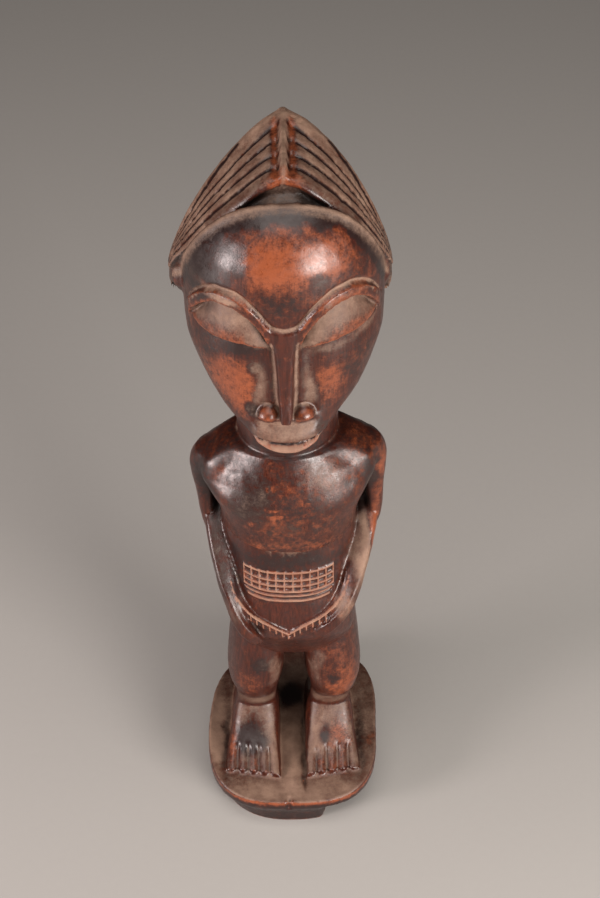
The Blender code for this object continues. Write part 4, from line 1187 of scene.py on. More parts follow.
# How the finish differs from place to place, as soft dabs on the front, later ones over earlier
# ones: across, height, half sizes of the dab, and the shares of dust, smoke and wear there
# Some dabs here and in TOP_DABS lay painted highlights and painted shade, as marked.
FRONT_DABS = [
    # forehead
    (0.0, 262.0, 26.0, 12.0, 0.05, 0.30, 0.55),
    (-26.0, 255.0, 8.0, 12.0, 0.20, 1.00, 0.0),
    (-17.0, 261.0, 6.0, 8.0, 0.12, 0.62, 0.10),
    (-3.0, 263.0, 8.0, 7.0, 0.0, 0.10, 0.80),
    (10.0, 262.0, 8.0, 7.0, 0.0, 0.15, 0.75),
    (24.0, 257.0, 5.0, 8.0, 0.10, 0.50, 0.40),
    (-2.0, 251.0, 9.0, 5.0, 0.05, 0.60, 0.35),
    (11.0, 256.0, 4.0, 3.0, 0.35, 0.60, 0.10),
    (-9.0, 247.0, 3.0, 4.0, 0.30, 0.50, 0.15),
    # brows and eyes; the dust on the brows is laid pale also as a painted highlight
    (-18.0, 249.5, 10.0, 2.5, 0.50, 0.10, 0.45),
    (-19.5, 248.5, 5.0, 2.2, 0.85, 0.00, 0.30),
    (15.0, 248.0, 4.0, 2.2, 0.70, 0.00, 0.50),
    (18.0, 249.5, 10.0, 2.5, 0.38, 0.08, 0.60),
    (0.0, 234.0, 3.5, 6.0, 0.0, 0.28, 0.08),
    # cheeks
    (-18.0, 213.0, 9.0, 11.0, 0.0, 0.08, 0.72),
    (-12.5, 207.0, 5.0, 9.0, 0.0, 0.12, 0.75),
    (-24.0, 224.0, 6.0, 6.0, 0.10, 0.62, 0.30),
    (-14.0, 227.0, 6.0, 2.6, 0.20, 0.90, 0.0),
    (-9.0, 219.0, 2.5, 4.0, 0.35, 0.75, 0.0),
    (-8.5, 211.0, 2.6, 11.0, 0.58, 0.45, 0.0),
    (14.0, 213.0, 5.0, 9.0, 0.05, 0.10, 0.70),
    (23.0, 219.0, 6.0, 10.0, 0.20, 0.55, 0.35),
    (7.0, 212.0, 2.8, 11.0, 0.62, 0.40, 0.0),
    (14.0, 226.5, 9.0, 2.2, 0.50, 0.40, 0.0),
    (26.0, 229.0, 5.0, 2.6, 0.62, 0.30, 0.0),
    (-10.5, 201.0, 2.6, 3.0, 0.35, 0.85, 0.0),
    # nose
    (0.0, 214.0, 2.2, 16.0, 0.0, 0.18, 0.22),
    (-1.2, 222.0, 0.9, 10.0, 0.10, 0.50, 0.0),
    # mouth and chin
    (0.0, 196.0, 9.0, 2.2, 0.80, 0.25, 0.0),
    (10.5, 194.0, 3.0, 4.0, 0.30, 0.60, 0.10),
    (-10.5, 193.0, 3.0, 4.0, 0.30, 0.70, 0.10),
    (0.0, 183.5, 11.0, 3.2, 0.0, 0.35, 0.72),
    (11.0, 184.0, 5.0, 5.0, 0.0, 0.45, 0.70),
    # neck and shoulders
    # the neck under the chin: smoke, laid dark also as painted shade
    (0.0, 171.0, 22.0, 5.0, 0.05, 0.62, 0.05),
    (-24.0, 163.0, 9.0, 6.0, 0.10, 0.60, 0.35),
    (26.0, 160.0, 9.0, 9.0, 0.10, 0.50, 0.50),
    # chest
    (0.0, 148.0, 26.0, 17.0, 0.26, 0.50, 0.38),
    (-13.0, 152.0, 7.0, 12.0, 0.30, 0.75, 0.0),
    (3.0, 150.0, 8.0, 9.0, 0.08, 0.55, 0.40),
    # a painted highlight on the chest's right, laid as pale dust over rubbed wood
    (12.5, 161.0, 7.0, 6.0, 0.46, 0.30, 0.35),
    (-3.0, 139.0, 9.0, 5.0, 0.25, 0.55, 0.45),
    (0.0, 128.5, 17.0, 2.6, 0.05, 0.50, 0.58),
    (34.5, 146.0, 2.6, 18.0, 0.0, 0.10, 0.85),
    # painted shade, with some dust, in the slits between the upper arms and the chest
    (28.6, 145.0, 2.4, 13.0, 0.34, 1.00, 0.0),
    (-30.5, 146.0, 4.5, 13.0, 0.0, 0.85, 0.0),
    # forearms
    (-26.0, 114.0, 4.5, 16.0, 0.30, 0.58, 0.10),
    (26.0, 114.0, 4.5, 16.0, 0.58, 0.34, 0.10),
    # a painted highlight along the middle of the right forearm, laid as pale dust
    (26.8, 118.0, 1.6, 14.0, 0.95, 0.0, 0.30),
    (31.0, 118.0, 2.0, 18.0, 0.0, 0.05, 0.85),
    (-20.0, 98.0, 4.0, 8.0, 0.40, 0.42, 0.12),
    (20.0, 99.0, 4.0, 8.0, 0.56, 0.25, 0.35),
    (-19.5, 113.0, 2.4, 13.0, 0.0, 0.55, 0.0),
    # belly
    (0.0, 119.0, 20.0, 4.0, 0.20, 0.74, 0.10),
    (0.0, 108.0, 20.0, 8.0, 0.18, 0.66, 0.25),
    (0.0, 96.0, 13.0, 6.0, 0.12, 0.36, 0.10),
    (0.0, 76.0, 16.0, 6.0, 0.15, 0.55, 0.08),
    # thighs and knees
    (-16.0, 56.0, 10.0, 16.0, 0.0, 0.36, 0.18),
    (-18.0, 47.0, 5.0, 7.0, 0.0, 0.22, 0.42),
    (-13.0, 57.0, 4.0, 4.0, 0.30, 0.85, 0.0),
    (-8.0, 52.0, 3.0, 12.0, 0.50, 0.30, 0.15),
    (16.0, 56.0, 10.0, 16.0, 0.08, 0.34, 0.40),
    (9.0, 54.0, 3.5, 12.0, 0.50, 0.30, 0.20),
    (18.0, 46.0, 6.0, 9.0, 0.10, 0.28, 0.65),
    (15.0, 50.0, 2.5, 3.0, 0.20, 0.80, 0.10),
    (-15.0, 25.0, 11.0, 6.0, 0.58, 0.55, 0.05),
    (14.0, 25.0, 11.0, 6.0, 0.58, 0.42, 0.10),
]
# The same for the plinth's top and the feet, with how far forward in place of the height
TOP_DABS = [
    (0.0, 0.0, 40.0, 45.0, 0.72, 0.36, 0.05),
    (31.0, 0.0, 6.0, 30.0, 0.62, 0.50, 0.05),
    (31.0, 8.0, 2.5, 4.0, 0.40, 0.35, 0.55),
    (-31.0, 0.0, 4.5, 24.0, 0.90, 0.08, 0.15),
    (0.0, 33.0, 30.0, 6.0, 0.80, 0.30, 0.05),
    (0.0, 14.0, 4.0, 16.0, 0.90, 0.05, 0.10),
    # painted shadow in the groove beside the left foot, laid as smoke
    (4.8, 12.0, 1.1, 17.0, 0.15, 1.00, 0.0),
    # painted shade on the plinth along the outer side of each foot
    (-27.0, 8.0, 2.0, 18.0, 0.35, 0.80, 0.0),
    (27.0, 8.0, 2.0, 18.0, 0.35, 0.80, 0.0),
    (-15.0, 4.0, 9.0, 6.0, 0.50, 0.45, 0.0),
    (14.0, 4.0, 9.0, 6.0, 0.50, 0.36, 0.10),
    (-17.0, 13.0, 8.0, 5.5, 0.05, 0.90, 0.22),
    (-24.0, 13.0, 1.8, 8.0, 0.10, 0.30, 0.62),
    (18.0, 13.0, 7.0, 6.0, 0.32, 0.28, 0.52),
    (12.5, 12.5, 2.0, 2.5, 0.10, 0.80, 0.10),
    (-17.0, 22.0, 9.0, 4.0, 0.36, 0.45, 0.35),
    (16.0, 22.0, 9.0, 4.0, 0.30, 0.38, 0.45),
    # painted shade on the plinth between the legs, behind the feet
    (0.0, -16.0, 6.0, 7.0, 0.05, 0.95, 0.0),
]
# Thin scratches across the chest that show the red wood: from, to, height
SCRATCHES = [
    (-10.0, 3.0, 157.0),
    (-9.0, -2.0, 148.0),
    (-10.0, 1.0, 145.6),
    (-7.0, 3.0, 143.0),
    (4.0, 10.0, 151.0),
    (7.0, 15.0, 139.5),
    (-16.0, -10.0, 140.5),
]
# Shares of dust, smoke and wear that single features have; in places the dust share also lays
# painted highlights and the smoke share painted shade
KINDS = ("dust_and_highlight", "smoke_and_shade", "wear")
PLAIN = (0.10, 0.38, 0.28)  # where nothing else is said
HAIR_GROOVE = (0.14, 0.92, 0.0)
# dust on the rib tops, laid pale also as a painted sheen
HAIR_RIB = (0.66, 0.34, 0.12)
BESIDE_CREST = (0.12, 0.35, 0.66)
CREST = (0.90, 0.0, 0.45)
SOCKET = (0.72, 0.34, 0.0)
LIT_LID = (0.34, 0.20, 0.55)
UPPER_LIP = (0.62, 0.34, 0.20)
# dust and wear, laid pale also as a painted highlight
LOWER_LIP = (1.0, 0.0, 1.0)
WING = (0.0, 0.42, 0.62)
PLINTH_SIDE = (0.08, 0.72, 0.25)
# pits darkened with smoke also as painted shade
PATTERN_PIT = (0.0, 0.55, 0.40)
# ridges laid pale, as dust and as a painted highlight
PATTERN_RIDGE = (0.70, 0.10, 0.80)
SHELTER_REACH = 0.020  # how near a surface has to be to shelter another, in metres
SHELTER_PLACES = 9000  # how many places it is judged at


def drawn(shares, weight, aims):
    """Draws the shares towards the aims, as far as the weight says."""
    for kind, aim in zip(KINDS, aims):
        shares[kind] += (aim - shares[kind]) * weight


def dabbed(shares, table, x, up, where):
    """Draws the shares towards each dab's own, inside the dab and where it counts."""
    for middle_x, middle_up, half_x, half_up, *aims in table:
        away = np.hypot((x - middle_x) / half_x, (up - middle_up) / half_up)
        drawn(shares, (1 - ramp(0.25, 1.5, away)) * where, aims)


def raised(shares, kind, amount):
    """Brings one share up to an amount where it is less."""
    shares[kind] = np.maximum(shares[kind], amount)


def lowered(shares, kind, amount):
    """Takes a part of one share away."""
    shares[kind] = shares[kind] * (1 - np.clip(amount, 0.0, 1.0))


def places_on(mesh):
    """Where each point lies on the figure, in body units with the lean taken out."""
    at = SimpleNamespace(mesh=mesh, points=points_of(mesh), normals=normals_of(mesh))
    straight = at.points.copy()
    straight[:, 0] -= glide(LEAN, body_units(at.points)[2])[:, 0] * UNIT
    at.x, at.forward, at.height = body_units(straight)
    at.across = np.abs(at.x)
    at.facing = ramp(-2.0, 4.0, at.forward) * ramp(-0.35, 0.1, -at.normals[:, 1])
    at.top_side = (at.height < 22) * ramp(0.3, 0.7, at.normals[:, 2])
    at.angle, radius = hair_place(at.forward, at.height)
    at.past_line = np.radians(at.angle - hairline(at.x)) * radius
    at.past_edge = np.radians(at.angle - hair_edge(at.x)) * radius
    at.on_hair = (
        ramp(-3.6, -2.6, radius - hair_surface(at.x, at.angle))
        * ramp(-1.5, 0.0, at.past_edge)
        * (at.height > 196)
        * (1 - ramp(HAIR_NAPE + 2, HAIR_NAPE + 6, at.angle) * (at.across < 30))
    )
    return at


def finish_by_dabs(shares, at):
    """The patches of the finish, some of them painted highlights and some painted shade, with their
    edges straying a little.
    """
    strayed = [
        1.3 * wander(at.points, 5.5, seed) + 0.7 * wander(at.points, 2.2, seed + 10)
        for seed in (21, 22)
    ]
    x = at.x + strayed[0]
    in_front = at.facing * ramp(18.0, 22.0, at.height) * (1 - at.on_hair)
    dabbed(shares, FRONT_DABS, x, at.height + strayed[1], in_front)
    dabbed(shares, TOP_DABS, x, at.forward + strayed[1], at.top_side)


def finish_hair(shares, at):
    """Sooty grooves between dusty ribs whose paleness is also a painted sheen, a pale crest with
    red beside it, and the visor's roll.
    """
    turn = (at.angle - hair_edge(at.x)) / RIB_ANGLE
    rib_top = ramp(0.25, 0.8, rib_relief(turn) / RIB_DEPTH)
    drawn(shares, at.on_hair, [g + (c - g) * rib_top for g, c in zip(HAIR_GROOVE, HAIR_RIB)])
    by_crest = at.on_hair * swell(at.across, 2.8, 1.3) * (at.height > 255)
    drawn(shares, by_crest, BESIDE_CREST)
    behind = ramp(108.0, 114.0, at.angle) * (at.across < 14)
    drawn(shares, at.on_hair * np.maximum(swell(at.x, 0.0, 1.1), behind), CREST)
    first_roll = at.on_hair * (1 - ramp(3.0, 5.5, at.past_edge)) * (at.across < 24)
    red = 1 - ramp(3.0, 9.0, at.across)
    lowered(shares, "dust_and_highlight", 0.3 * first_roll)
    shares["wear"] += (0.12 + 0.5 * red - shares["wear"]) * first_roll
    shares["smoke_and_shade"] += (0.50 - 0.2 * red - shares["smoke_and_shade"]) * first_roll


def finish_hairline(shares, at):
    """Dust and dark soot in the recess under the visor, the soot laid there also as painted shade,
    dust on the raised line, and soot run down below it.
    """
    bare = 1 - at.on_hair
    # the recess under the visor: dust, and smoke laid dark also as painted shade
    recess = ramp(0.0, 1.5, at.past_line) * bare * (at.height > 225) * (at.forward > -2)
    raised(shares, "dust_and_highlight", 0.45 * recess)
    raised(shares, "smoke_and_shade", 0.9 * recess)
    fillet = swell(at.past_line, -FILLET_HALF, FILLET_HALF * 1.2) * (at.height > 222)
    raised(shares, "dust_and_highlight", 0.75 * (fillet * ramp(-2.0, 4.0, at.forward)))

    below_line = -at.past_line - 2 * FILLET_HALF
    along_rim = np.stack([at.x, np.zeros(len(at.x)), np.zeros(len(at.x))], axis=1) * UNIT
    drip = 3.2 + 2.2 * wander(along_rim, 3.4, 5)
    rim = (at.height > 240) * (below_line > -2)
    rim = rim * (1 - ramp(drip - 0.8, drip + 1.6, below_line)) * at.facing * bare
    raised(shares, "smoke_and_shade", 0.95 * rim)
    lowered(shares, "wear", rim)
    raised(shares, "dust_and_highlight", 0.46 * rim * (1 - ramp(0.5, 3.5, below_line)))


def finish_eyes(shares, at):
    """Dusty sockets, lids rubbed red on their lower outer part, and dust along the brows."""
    height, across = at.height, at.across
    top, low, lid = eye_edges(at.x)
    drop = np.clip((low - height) / np.maximum(low - lid, 0.5), 0.0, 1.0)
    in_eye = ramp(0.0, 0.8, low - height) * ramp(-0.3, 0.3, height - lid)
    in_eye *= ramp(3.6, 5.2, across) * (1 - ramp(28.0, 31.0, across)) * at.facing
    lit = ramp(0.42, 0.85, drop) * ramp(7.0, 17.0, across)
    drawn(shares, in_eye, [dull + (red - dull) * lit for dull, red in zip(SOCKET, LIT_LID)])
    brow_line = swell(height, top + 0.9, 0.9) * at.facing * (across < 30) * (height > 236)
    raised(shares, "dust_and_highlight", 0.85 * brow_line)
    lid_edge = swell(height, lid + 0.3, 0.5) * at.facing * ramp(5.0, 7.0, across)
    raised(shares, "wear", 0.85 * lid_edge * (across < 29))
    lowered(shares, "smoke_and_shade", 0.8 * lid_edge * (across < 29))


def finish_nose(shares, at):
    """Dust in the grooves beside the nose."""
    height, across = at.height, at.across
    half = glide(NOSE, height)[:, 0]
    beside = swell(across, half + 1.3, 0.7) * (height > 200) * (height < 233) * at.facing
    raised(shares, "dust_and_highlight", 0.78 * beside)


def finish_mouth(shares, at):
    """Dusty lips, the lower lip laid pale also as a painted highlight, and rubbed wings of the
    nose. Gives back the line between the lips.
    """
    up = at.height - MOUTH_LINE - MOUTH_BOW * at.x**2
    near = (1 - ramp(MOUTH_HALF - 1.0, MOUTH_HALF + 0.5, at.across)) * at.facing
    lip_end = MOUTH_HALF - 1.5 + 2.0 * wander(at.points, 2.5, 41)
    upper_lip = ramp(0.6, 1.2, up) * (1 - ramp(6.5, 8.5, up)) * at.facing
    drawn(shares, upper_lip * (1 - ramp(lip_end - 2.5, lip_end + 1.5, at.across)), UPPER_LIP)
    drawn(shares, ramp(-3.5, -2.7, up) * (1 - ramp(-1.0, -0.4, up)) * near, LOWER_LIP)
    line = swell(up, 0.0, 0.55) * near
    raised(shares, "smoke_and_shade", 1.2 * line)
    out, rise = (at.across - WING_OUT) / WING_HALF[0], (at.height - WING_UP) / WING_HALF[1]
    from_wing = np.hypot(out, rise)
    drawn(shares, (1 - ramp(0.85, 1.0, from_wing)) * at.facing, WING)
    round_wing = swell(from_wing, 1.2, 0.14) * at.facing * (at.height > WING_UP - 1)
    raised(shares, "dust_and_highlight", 0.38 * round_wing)
    return line


def finish_by_form(shares, at, mouth_line):
    """Dust in what is hollow, and bare wood on what stands proud."""
    fine = hollowness(at.mesh, at.points, 3)
    broad = hollowness(at.mesh, at.points, 24)
    hollow = ramp(0.06, 0.24, fine) * (1 - mouth_line)
    by_arm = (at.height > 84) * (at.height < 132) * ramp(15.0, 17.0, at.across)
    at_toes = (at.height < 12) * (at.forward > 12)
    raised(shares, "dust_and_highlight", 0.62 * hollow * (1 - 0.75 * by_arm) * (1 - 0.3 * at_toes))
    raised(shares, "smoke_and_shade", 0.6 * hollow * at_toes)
    raised(shares, "dust_and_highlight", 0.5 * ramp(0.15, 0.8, broad))
    on_nose = (at.height > 180) * (1 - at.on_hair) * (at.across < 5)
    proud = ramp(0.07, 0.24, -fine) * (1 - 0.7 * at.on_hair) * (1 - 0.8 * on_nose)
    raised(shares, "wear", 0.62 * proud)
    lowered(shares, "smoke_and_shade", 0.6 * proud)
    lowered(shares, "dust_and_highlight", 0.6 * proud)


def finish_plinth(shares, at):
    """Dark sides, and a lip rubbed back to red."""
    side = ramp(0.3, 1.2, -at.height) * (1 - ramp(0.3, 0.7, at.normals[:, 2]))
    drawn(shares, side, PLINTH_SIDE)
    lip = swell(at.height, -0.9, 1.0) + 0.8 * ramp(-15.0, -16.0, at.height)
    rubbed = (at.height < 1.5) * (at.normals[:, 2] < 0.8)
    raised(shares, "wear", 0.75 * lip * rubbed)
    lowered(shares, "smoke_and_shade", 0.7 * lip * rubbed)


def finish_scratches(shares, at):
    """Thin red scratches across the chest."""
    for start, end, level in SCRATCHES:
        off = at.height - level - 0.8 * wander(at.points, 3.0, 31) - 0.02 * (at.x - start)
        run = ramp(start - 1, start + 1, at.x) * (1 - ramp(end - 1, end + 1, at.x)) * at.facing
        line = swell(off, 0.0, 0.30) * run * (at.height > 134)
        raised(shares, "wear", 0.7 * line)
        lowered(shares, "smoke_and_shade", 0.7 * line)


def finish_patterns(shares, at):
    """Ridges laid pale, as dust and as a painted highlight, over pits darkened as painted shade, on
    the belly and along the fingers.
    """
    place = at.x, at.forward, at.height
    on_belly = (at.height > 80) * (at.height < 124)
    marks = zip(scars(*place), finger_marks(*place))
    ridges, pits = [np.maximum(*pair) * on_belly for pair in marks]
    drawn(shares, ramp(0.2, 0.7, pits), PATTERN_PIT)
    drawn(shares, ramp(0.3, 0.8, ridges), PATTERN_RIDGE)


def shelter(at):
    """How far each point is hidden by what is near it, which the material paints as shade. The
    plinth's open top counts as open.
    """
    rng = np.random.default_rng(7)
    count = len(at.points)
    some = rng.choice(count, min(count, SHELTER_PLACES), replace=False)
    corners = [Vector(point) for point in at.points]
    bvh = BVHTree.FromPolygons(corners, [tuple(face.vertices) for face in at.mesh.polygons])
    hidden = sheltered(at.points[some], at.normals[some], bvh, SHELTER_REACH)
    hidden = nearest_values(at.points[some], hidden, at.points)
    open_top = at.top_side * ramp(-4.0, 4.0, at.forward)
    return evened(at.mesh, hidden, 6) * (1 - 0.97 * open_top)


def finish_shares(figure):
    """The shares of dust, smoke, wear and shelter at each point of the figure, with the painted
    highlights and painted shade that some of them carry.
    """
    at = places_on(figure.data)
    shares = {kind: np.full(len(at.x), share) for kind, share in zip(KINDS, PLAIN)}
    for finish in (finish_by_dabs, finish_hair, finish_hairline, finish_eyes, finish_nose):
        finish(shares, at)
    finish_by_form(shares, at, finish_mouth(shares, at))
    for finish in (finish_plinth, finish_scratches, finish_patterns):
        finish(shares, at)
    shares["shelter"] = shelter(at)
    return shares


def nearest_values(places, values, points):
    """Values known at some places, carried to every point from its three nearest places."""
    tree = KDTree(len(places))
    for i, place in enumerate(places):
        tree.insert(place, i)
    tree.balance()
    carried = np.zeros(len(points))
    for i, point in enumerate(points):
        found = tree.find_n(point, 3)
        weights = [1.0 / (distance + 1e-5) for _, _, distance in found]
        total = sum(w * values[index] for w, (_, index, _) in zip(weights, found))
        carried[i] = total / sum(weights)
    return carried


def store(mesh, name, values):
    """Keeps a value for each point with the mesh, where the material finds it by name."""
    made = mesh.attributes.new(name, "FLOAT", "POINT")
    made.data.foreach_set("value", np.clip(values, 0.0, 1.0).astype(np.float32))


def linear(hex_colour):
    """An sRGB colour such as #7A3B2A as linear red, green, blue and alpha."""
    parts = [int(hex_colour[i : i + 2], 16) / 255 for i in (1, 3, 5)]
    parts = [p / 12.92 if p <= 0.04045 else ((p + 0.055) / 1.055) ** 2.4 for p in parts]
    return (*parts, 1.0)


def add(tree, kind, inputs, **settings):
    """Adds a node with its settings. Inputs maps a socket to a value or to another's output."""
    made = tree.nodes.new("ShaderNode" + kind)
    for name, value in settings.items():
        setattr(made, name, value)
    for socket, value in inputs.items():
        if isinstance(value, bpy.types.NodeSocket):
            tree.links.new(value, made.inputs[socket])
        else:
            made.inputs[socket].default_value = value
    return made


WOOD_STREAKS = ("#280F08", "#431C10")  # dark and light streaks of the grain
WOOD_CLOUD = "#351713"
BARE_WOOD = "#7C4127"  # worn back to fresher wood
SMOKE_AND_SHADE = "#1D1211"
PAINTED_SHADE = "#150D0A"  # painted shade, laid where the figure hides a place from the open
DUST_AND_HIGHLIGHT = ("#755C4D", "#8D7260")
DUST_ROUGHNESS = 0.8
BUMP_DEPTH = 0.00022  # of the pores, in metres

MIX_SHARE, MIX_FIRST, MIX_SECOND, MIX_OUT = 0, 6, 7, 2  # a colour mix's sockets


def per_metre(size_mm):
    """A noise's scale for features of a size in millimetres."""
    return 1000.0 / size_mm


def handled_hardwood():
    """Dense hardwood, knife-carved, oiled and handled for generations.

    It gives a soft deep gloss over red-brown wood with a fine grain along the figure, black smoke
    and hand grime in ragged patches, red wood worn bare on the edges, and matt tan dust in every
    hollow. The tan is also laid as painted highlights and the black as painted shade in some
    places, and the colour is darkened as painted shade where the figure hides a place from the
    open.
    """
    material = bpy.data.materials.new("handled_hardwood")
    material.use_nodes = True
    tree = material.node_tree
    shader = tree.nodes["Principled BSDF"]
    place = add(tree, "TexCoord", {}).outputs["Object"]
    along = add(tree, "Mapping", {"Vector": place, "Scale": (1.0, 1.0, 0.09)}).outputs[0]
    share = {
        name: add(tree, "Attribute", {}, attribute_name=name).outputs["Fac"]
        for name in ("dust_and_highlight", "smoke_and_shade", "wear", "shelter")
    }

    def noise(size_mm, detail, where=place, rough=0.6):
        inputs = {"Vector": where, "Scale": per_metre(size_mm)}
        inputs.update({"Detail": detail, "Roughness": rough})
        return add(tree, "TexNoise", inputs).outputs["Fac"]

    def maths(kind, first, second):
        return add(tree, "Math", {0: first, 1: second}, operation=kind).outputs[0]

    def step(value, low, high, start=0.0, end=1.0):
        inputs = {"Value": value, "From Min": low, "From Max": high, "To Min": start, "To Max": end}
        return add(tree, "MapRange", inputs, interpolation_type="SMOOTHSTEP").outputs[0]

    def mix(amount, first, second):
        inputs = {MIX_SHARE: amount, MIX_FIRST: first, MIX_SECOND: second}
        return add(tree, "Mix", inputs, data_type="RGBA").outputs[MIX_OUT]

    grain = noise(0.8, 4.0, along)  # fine streaks that run up the figure
    cloud = noise(7.0, 5.0, rough=0.65)  # broad drifts from one tone to another
    mottle = noise(2.0, 6.0, rough=0.7)  # ragged edges of the smoke and the dust
    other = add(tree, "Mapping", {"Vector": place, "Location": (0.31, 0.17, 0.23)}).outputs[0]
    blot = noise(2.6, 6.0, other, 0.7)  # worn patches that don't follow the smoke's
    speck = noise(0.55, 3.0)  # pepper of single pores

    def broken(value, terms):
        """A share with noise laid over it, so that its edge is ragged."""
        for pattern, amount in terms:
            value = maths("ADD", value, maths("MULTIPLY", maths("SUBTRACT", pattern, 0.5), amount))
        return value

    wood = mix(step(grain, 0.3, 0.7), *[linear(tone) for tone in WOOD_STREAKS])
    wood = mix(step(cloud, 0.35, 0.7, 0.0, 0.6), wood, linear(WOOD_CLOUD))
    bare = broken(share["wear"], ((blot, 1.2), (speck, 0.55), (grain, 0.3)))
    bare_share = step(bare, 0.24, 0.88, 0.0, 0.95)
    colour = mix(bare_share, wood, linear(BARE_WOOD))
    dark = broken(share["smoke_and_shade"], ((mottle, 1.3), (cloud, 0.6), (speck, 0.5), (grain, 0.25)))
    dark_share = step(dark, 0.34, 0.76, 0.0, 0.92)
    colour = mix(dark_share, colour, linear(SMOKE_AND_SHADE))
    pale_coat = broken(share["dust_and_highlight"], ((mottle, 0.45), (speck, 0.35), (cloud, 0.35)))
    dust_and_highlight_share = step(pale_coat, 0.2, 0.95, 0.0, 0.85)
    tan = mix(step(cloud, 0.3, 0.7), *[linear(tone) for tone in DUST_AND_HIGHLIGHT])
    colour = mix(dust_and_highlight_share, colour, tan)
    # painted shade: the colour darkens where the figure hides a place from the open
    shade_share = step(share["shelter"], 0.26, 0.62, 0.0, 0.92)
    colour = mix(shade_share, colour, linear(PAINTED_SHADE))
    tree.links.new(colour, shader.inputs["Base Color"])

    gloss = step(maths("ADD", mottle, maths("MULTIPLY", speck, 0.3)), 0.4, 0.9, 0.26, 0.43)
    rough = add(tree, "Mix", {0: dust_and_highlight_share, 2: gloss, 3: DUST_ROUGHNESS}, data_type="FLOAT")
    tree.links.new(rough.outputs[0], shader.inputs["Roughness"])
    shader.inputs["Metallic"].default_value = 0.0
    shader.inputs["IOR"].default_value = 1.45
    shader.inputs["Specular IOR Level"].default_value = 0.5

    pores = maths("MULTIPLY", noise(0.35, 2.0, along), 0.35)
    height = maths("ADD", maths("MULTIPLY", mottle, 0.8), pores)
    height = maths("ADD", height, maths("MULTIPLY", speck, maths("ADD", 0.15, dust_and_highlight_share)))
    bump = add(tree, "Bump", {"Strength": 0.35, "Distance": BUMP_DEPTH, "Height": height})
    tree.links.new(bump.outputs["Normal"], shader.inputs["Normal"])
    return material


class FigureCarving(bpy.types.PropertyGroup):
    """Sizes of the small work on the figure."""

    scar_depth: bpy.props.FloatProperty(
        name="Scar Depth",
        description="Depth of the pits cut into the belly",
        default=0.00045,
        precision=5,
        unit="LENGTH",
    )
    scar_height: bpy.props.FloatProperty(
        name="Scar Height",
        description="Height of the ridges between those pits",
        default=0.00030,
        precision=5,
        unit="LENGTH",
    )
    finger_depth: bpy.props.FloatProperty(
        name="Finger Depth",
        description="Depth of the pits cut along the band of fingers",
        default=0.00055,
        precision=5,
        unit="LENGTH",
    )
    tool_marks: bpy.props.FloatProperty(
        name="Tool Marks",
        description="Depth of the flats that the knife left",
        default=0.00022,
        precision=5,
        unit="LENGTH",
    )


class FigureStage(bpy.types.PropertyGroup):
    """The floor, the lights and the camera."""

    floor_colour: bpy.props.FloatVectorProperty(
        name="Floor Colour",
        description="Colour of the plain floor",
        subtype="COLOR",
        size=3,
        default=(0.34, 0.33, 0.315),
    )
    light_power: bpy.props.FloatProperty(
        name="Light",
        description="Power of the stronger soft light",
        default=7.0,
        unit="POWER",
    )
    camera_distance: bpy.props.FloatProperty(
        name="Camera Distance",
        description="From the camera to the middle of the figure",
        default=0.690,
        unit="LENGTH",
    )
    camera_elevation: bpy.props.FloatProperty(
        name="Camera Elevation",
        description="How far the camera looks down",
        default=math.radians(45.0),
        subtype="ANGLE",
    )


class FIGURE_OT_carve(bpy.types.Operator):
    """Carve the figure and its plinth, and finish the wood"""

    bl_idname = "figure.carve"
    bl_label = "Carve Figure"

    def execute(self, context):
        figure = fine_figure(context.scene.figure_carving)
        figure.name = "carved_figure"
        figure.data.name = "carved_figure"
        for name, values in finish_shares(figure).items():
            store(figure.data, name, values)
        figure.data.materials.clear()
        figure.data.materials.append(handled_hardwood())
        figure.data.shade_smooth()
        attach(figure, "root")
        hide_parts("figure")
        return {"FINISHED"}


FOCAL = 1923.0  # the camera's focal length in heights of one of the picture's pixels
PICTURE = (600.0, 898.0)
AXIS_COLUMN = 288.6  # where the figure's middle is in the picture
AXIS_ROW = 494.0
ROLL = math.radians(-0.9)
AIM_HEIGHT = 0.150  # where on the figure's axis it looks
SENSOR = 36.0
WORLD_COLOUR = (0.52, 0.5, 0.48, 1.0)
WORLD_STRENGTH = 0.05
FLOOR_HALF = 1.6

# The soft boxes: turn to the figure's left and rise, both in degrees, distance, width and height,
# share of the power, colour
SOFT_BOXES = [
    ("box_left", -64.0, 4.0, 0.72, (0.18, 0.27), 0.85, (1.0, 0.87, 0.85)),
    ("box_right", 38.0, 6.0, 0.72, (0.34, 0.24), 1.30, (1.0, 0.92, 0.87)),
    ("box_above", -8.0, 68.0, 0.90, (1.00, 0.80), 1.25, (1.0, 0.93, 0.88)),
]


def soft_light(name, place, aim, size, power, colour):
    """A soft box that shines on the figure."""
    lamp = bpy.data.lights.new(name, "AREA")
    lamp.shape = "RECTANGLE"
    lamp.size, lamp.size_y = size
    lamp.energy = power
    lamp.color = colour
    light = bpy.data.objects.new(name, lamp)
    bpy.context.scene.collection.objects.link(light)
    light.location = place
    way = Vector(aim) - Vector(place)
    light.rotation_mode = "QUATERNION"
    light.rotation_quaternion = way.to_track_quat("-Z", "Y")
    light.visible_camera = False
    return light


def floor_finish(colour):
    """Matt painted board: plain and pale, with the faintest unevenness of the roller."""
    material = bpy.data.materials.new("matt_painted_board")
    material.use_nodes = True
    tree = material.node_tree
    shader = tree.nodes["Principled BSDF"]
    place = add(tree, "TexCoord", {}).outputs["Object"]
    grain = add(tree, "TexNoise", {"Vector": place, "Scale": per_metre(3.0)}).outputs["Fac"]
    pale = (*[c * 1.03 for c in colour], 1.0)
    inputs = {MIX_SHARE: grain, MIX_FIRST: (*colour, 1.0), MIX_SECOND: pale}
    tone = add(tree, "Mix", inputs, data_type="RGBA").outputs[MIX_OUT]
    tree.links.new(tone, shader.inputs["Base Color"])
    shader.inputs["Roughness"].default_value = 0.9
    shader.inputs["Specular IOR Level"].default_value = 0.2
    return material


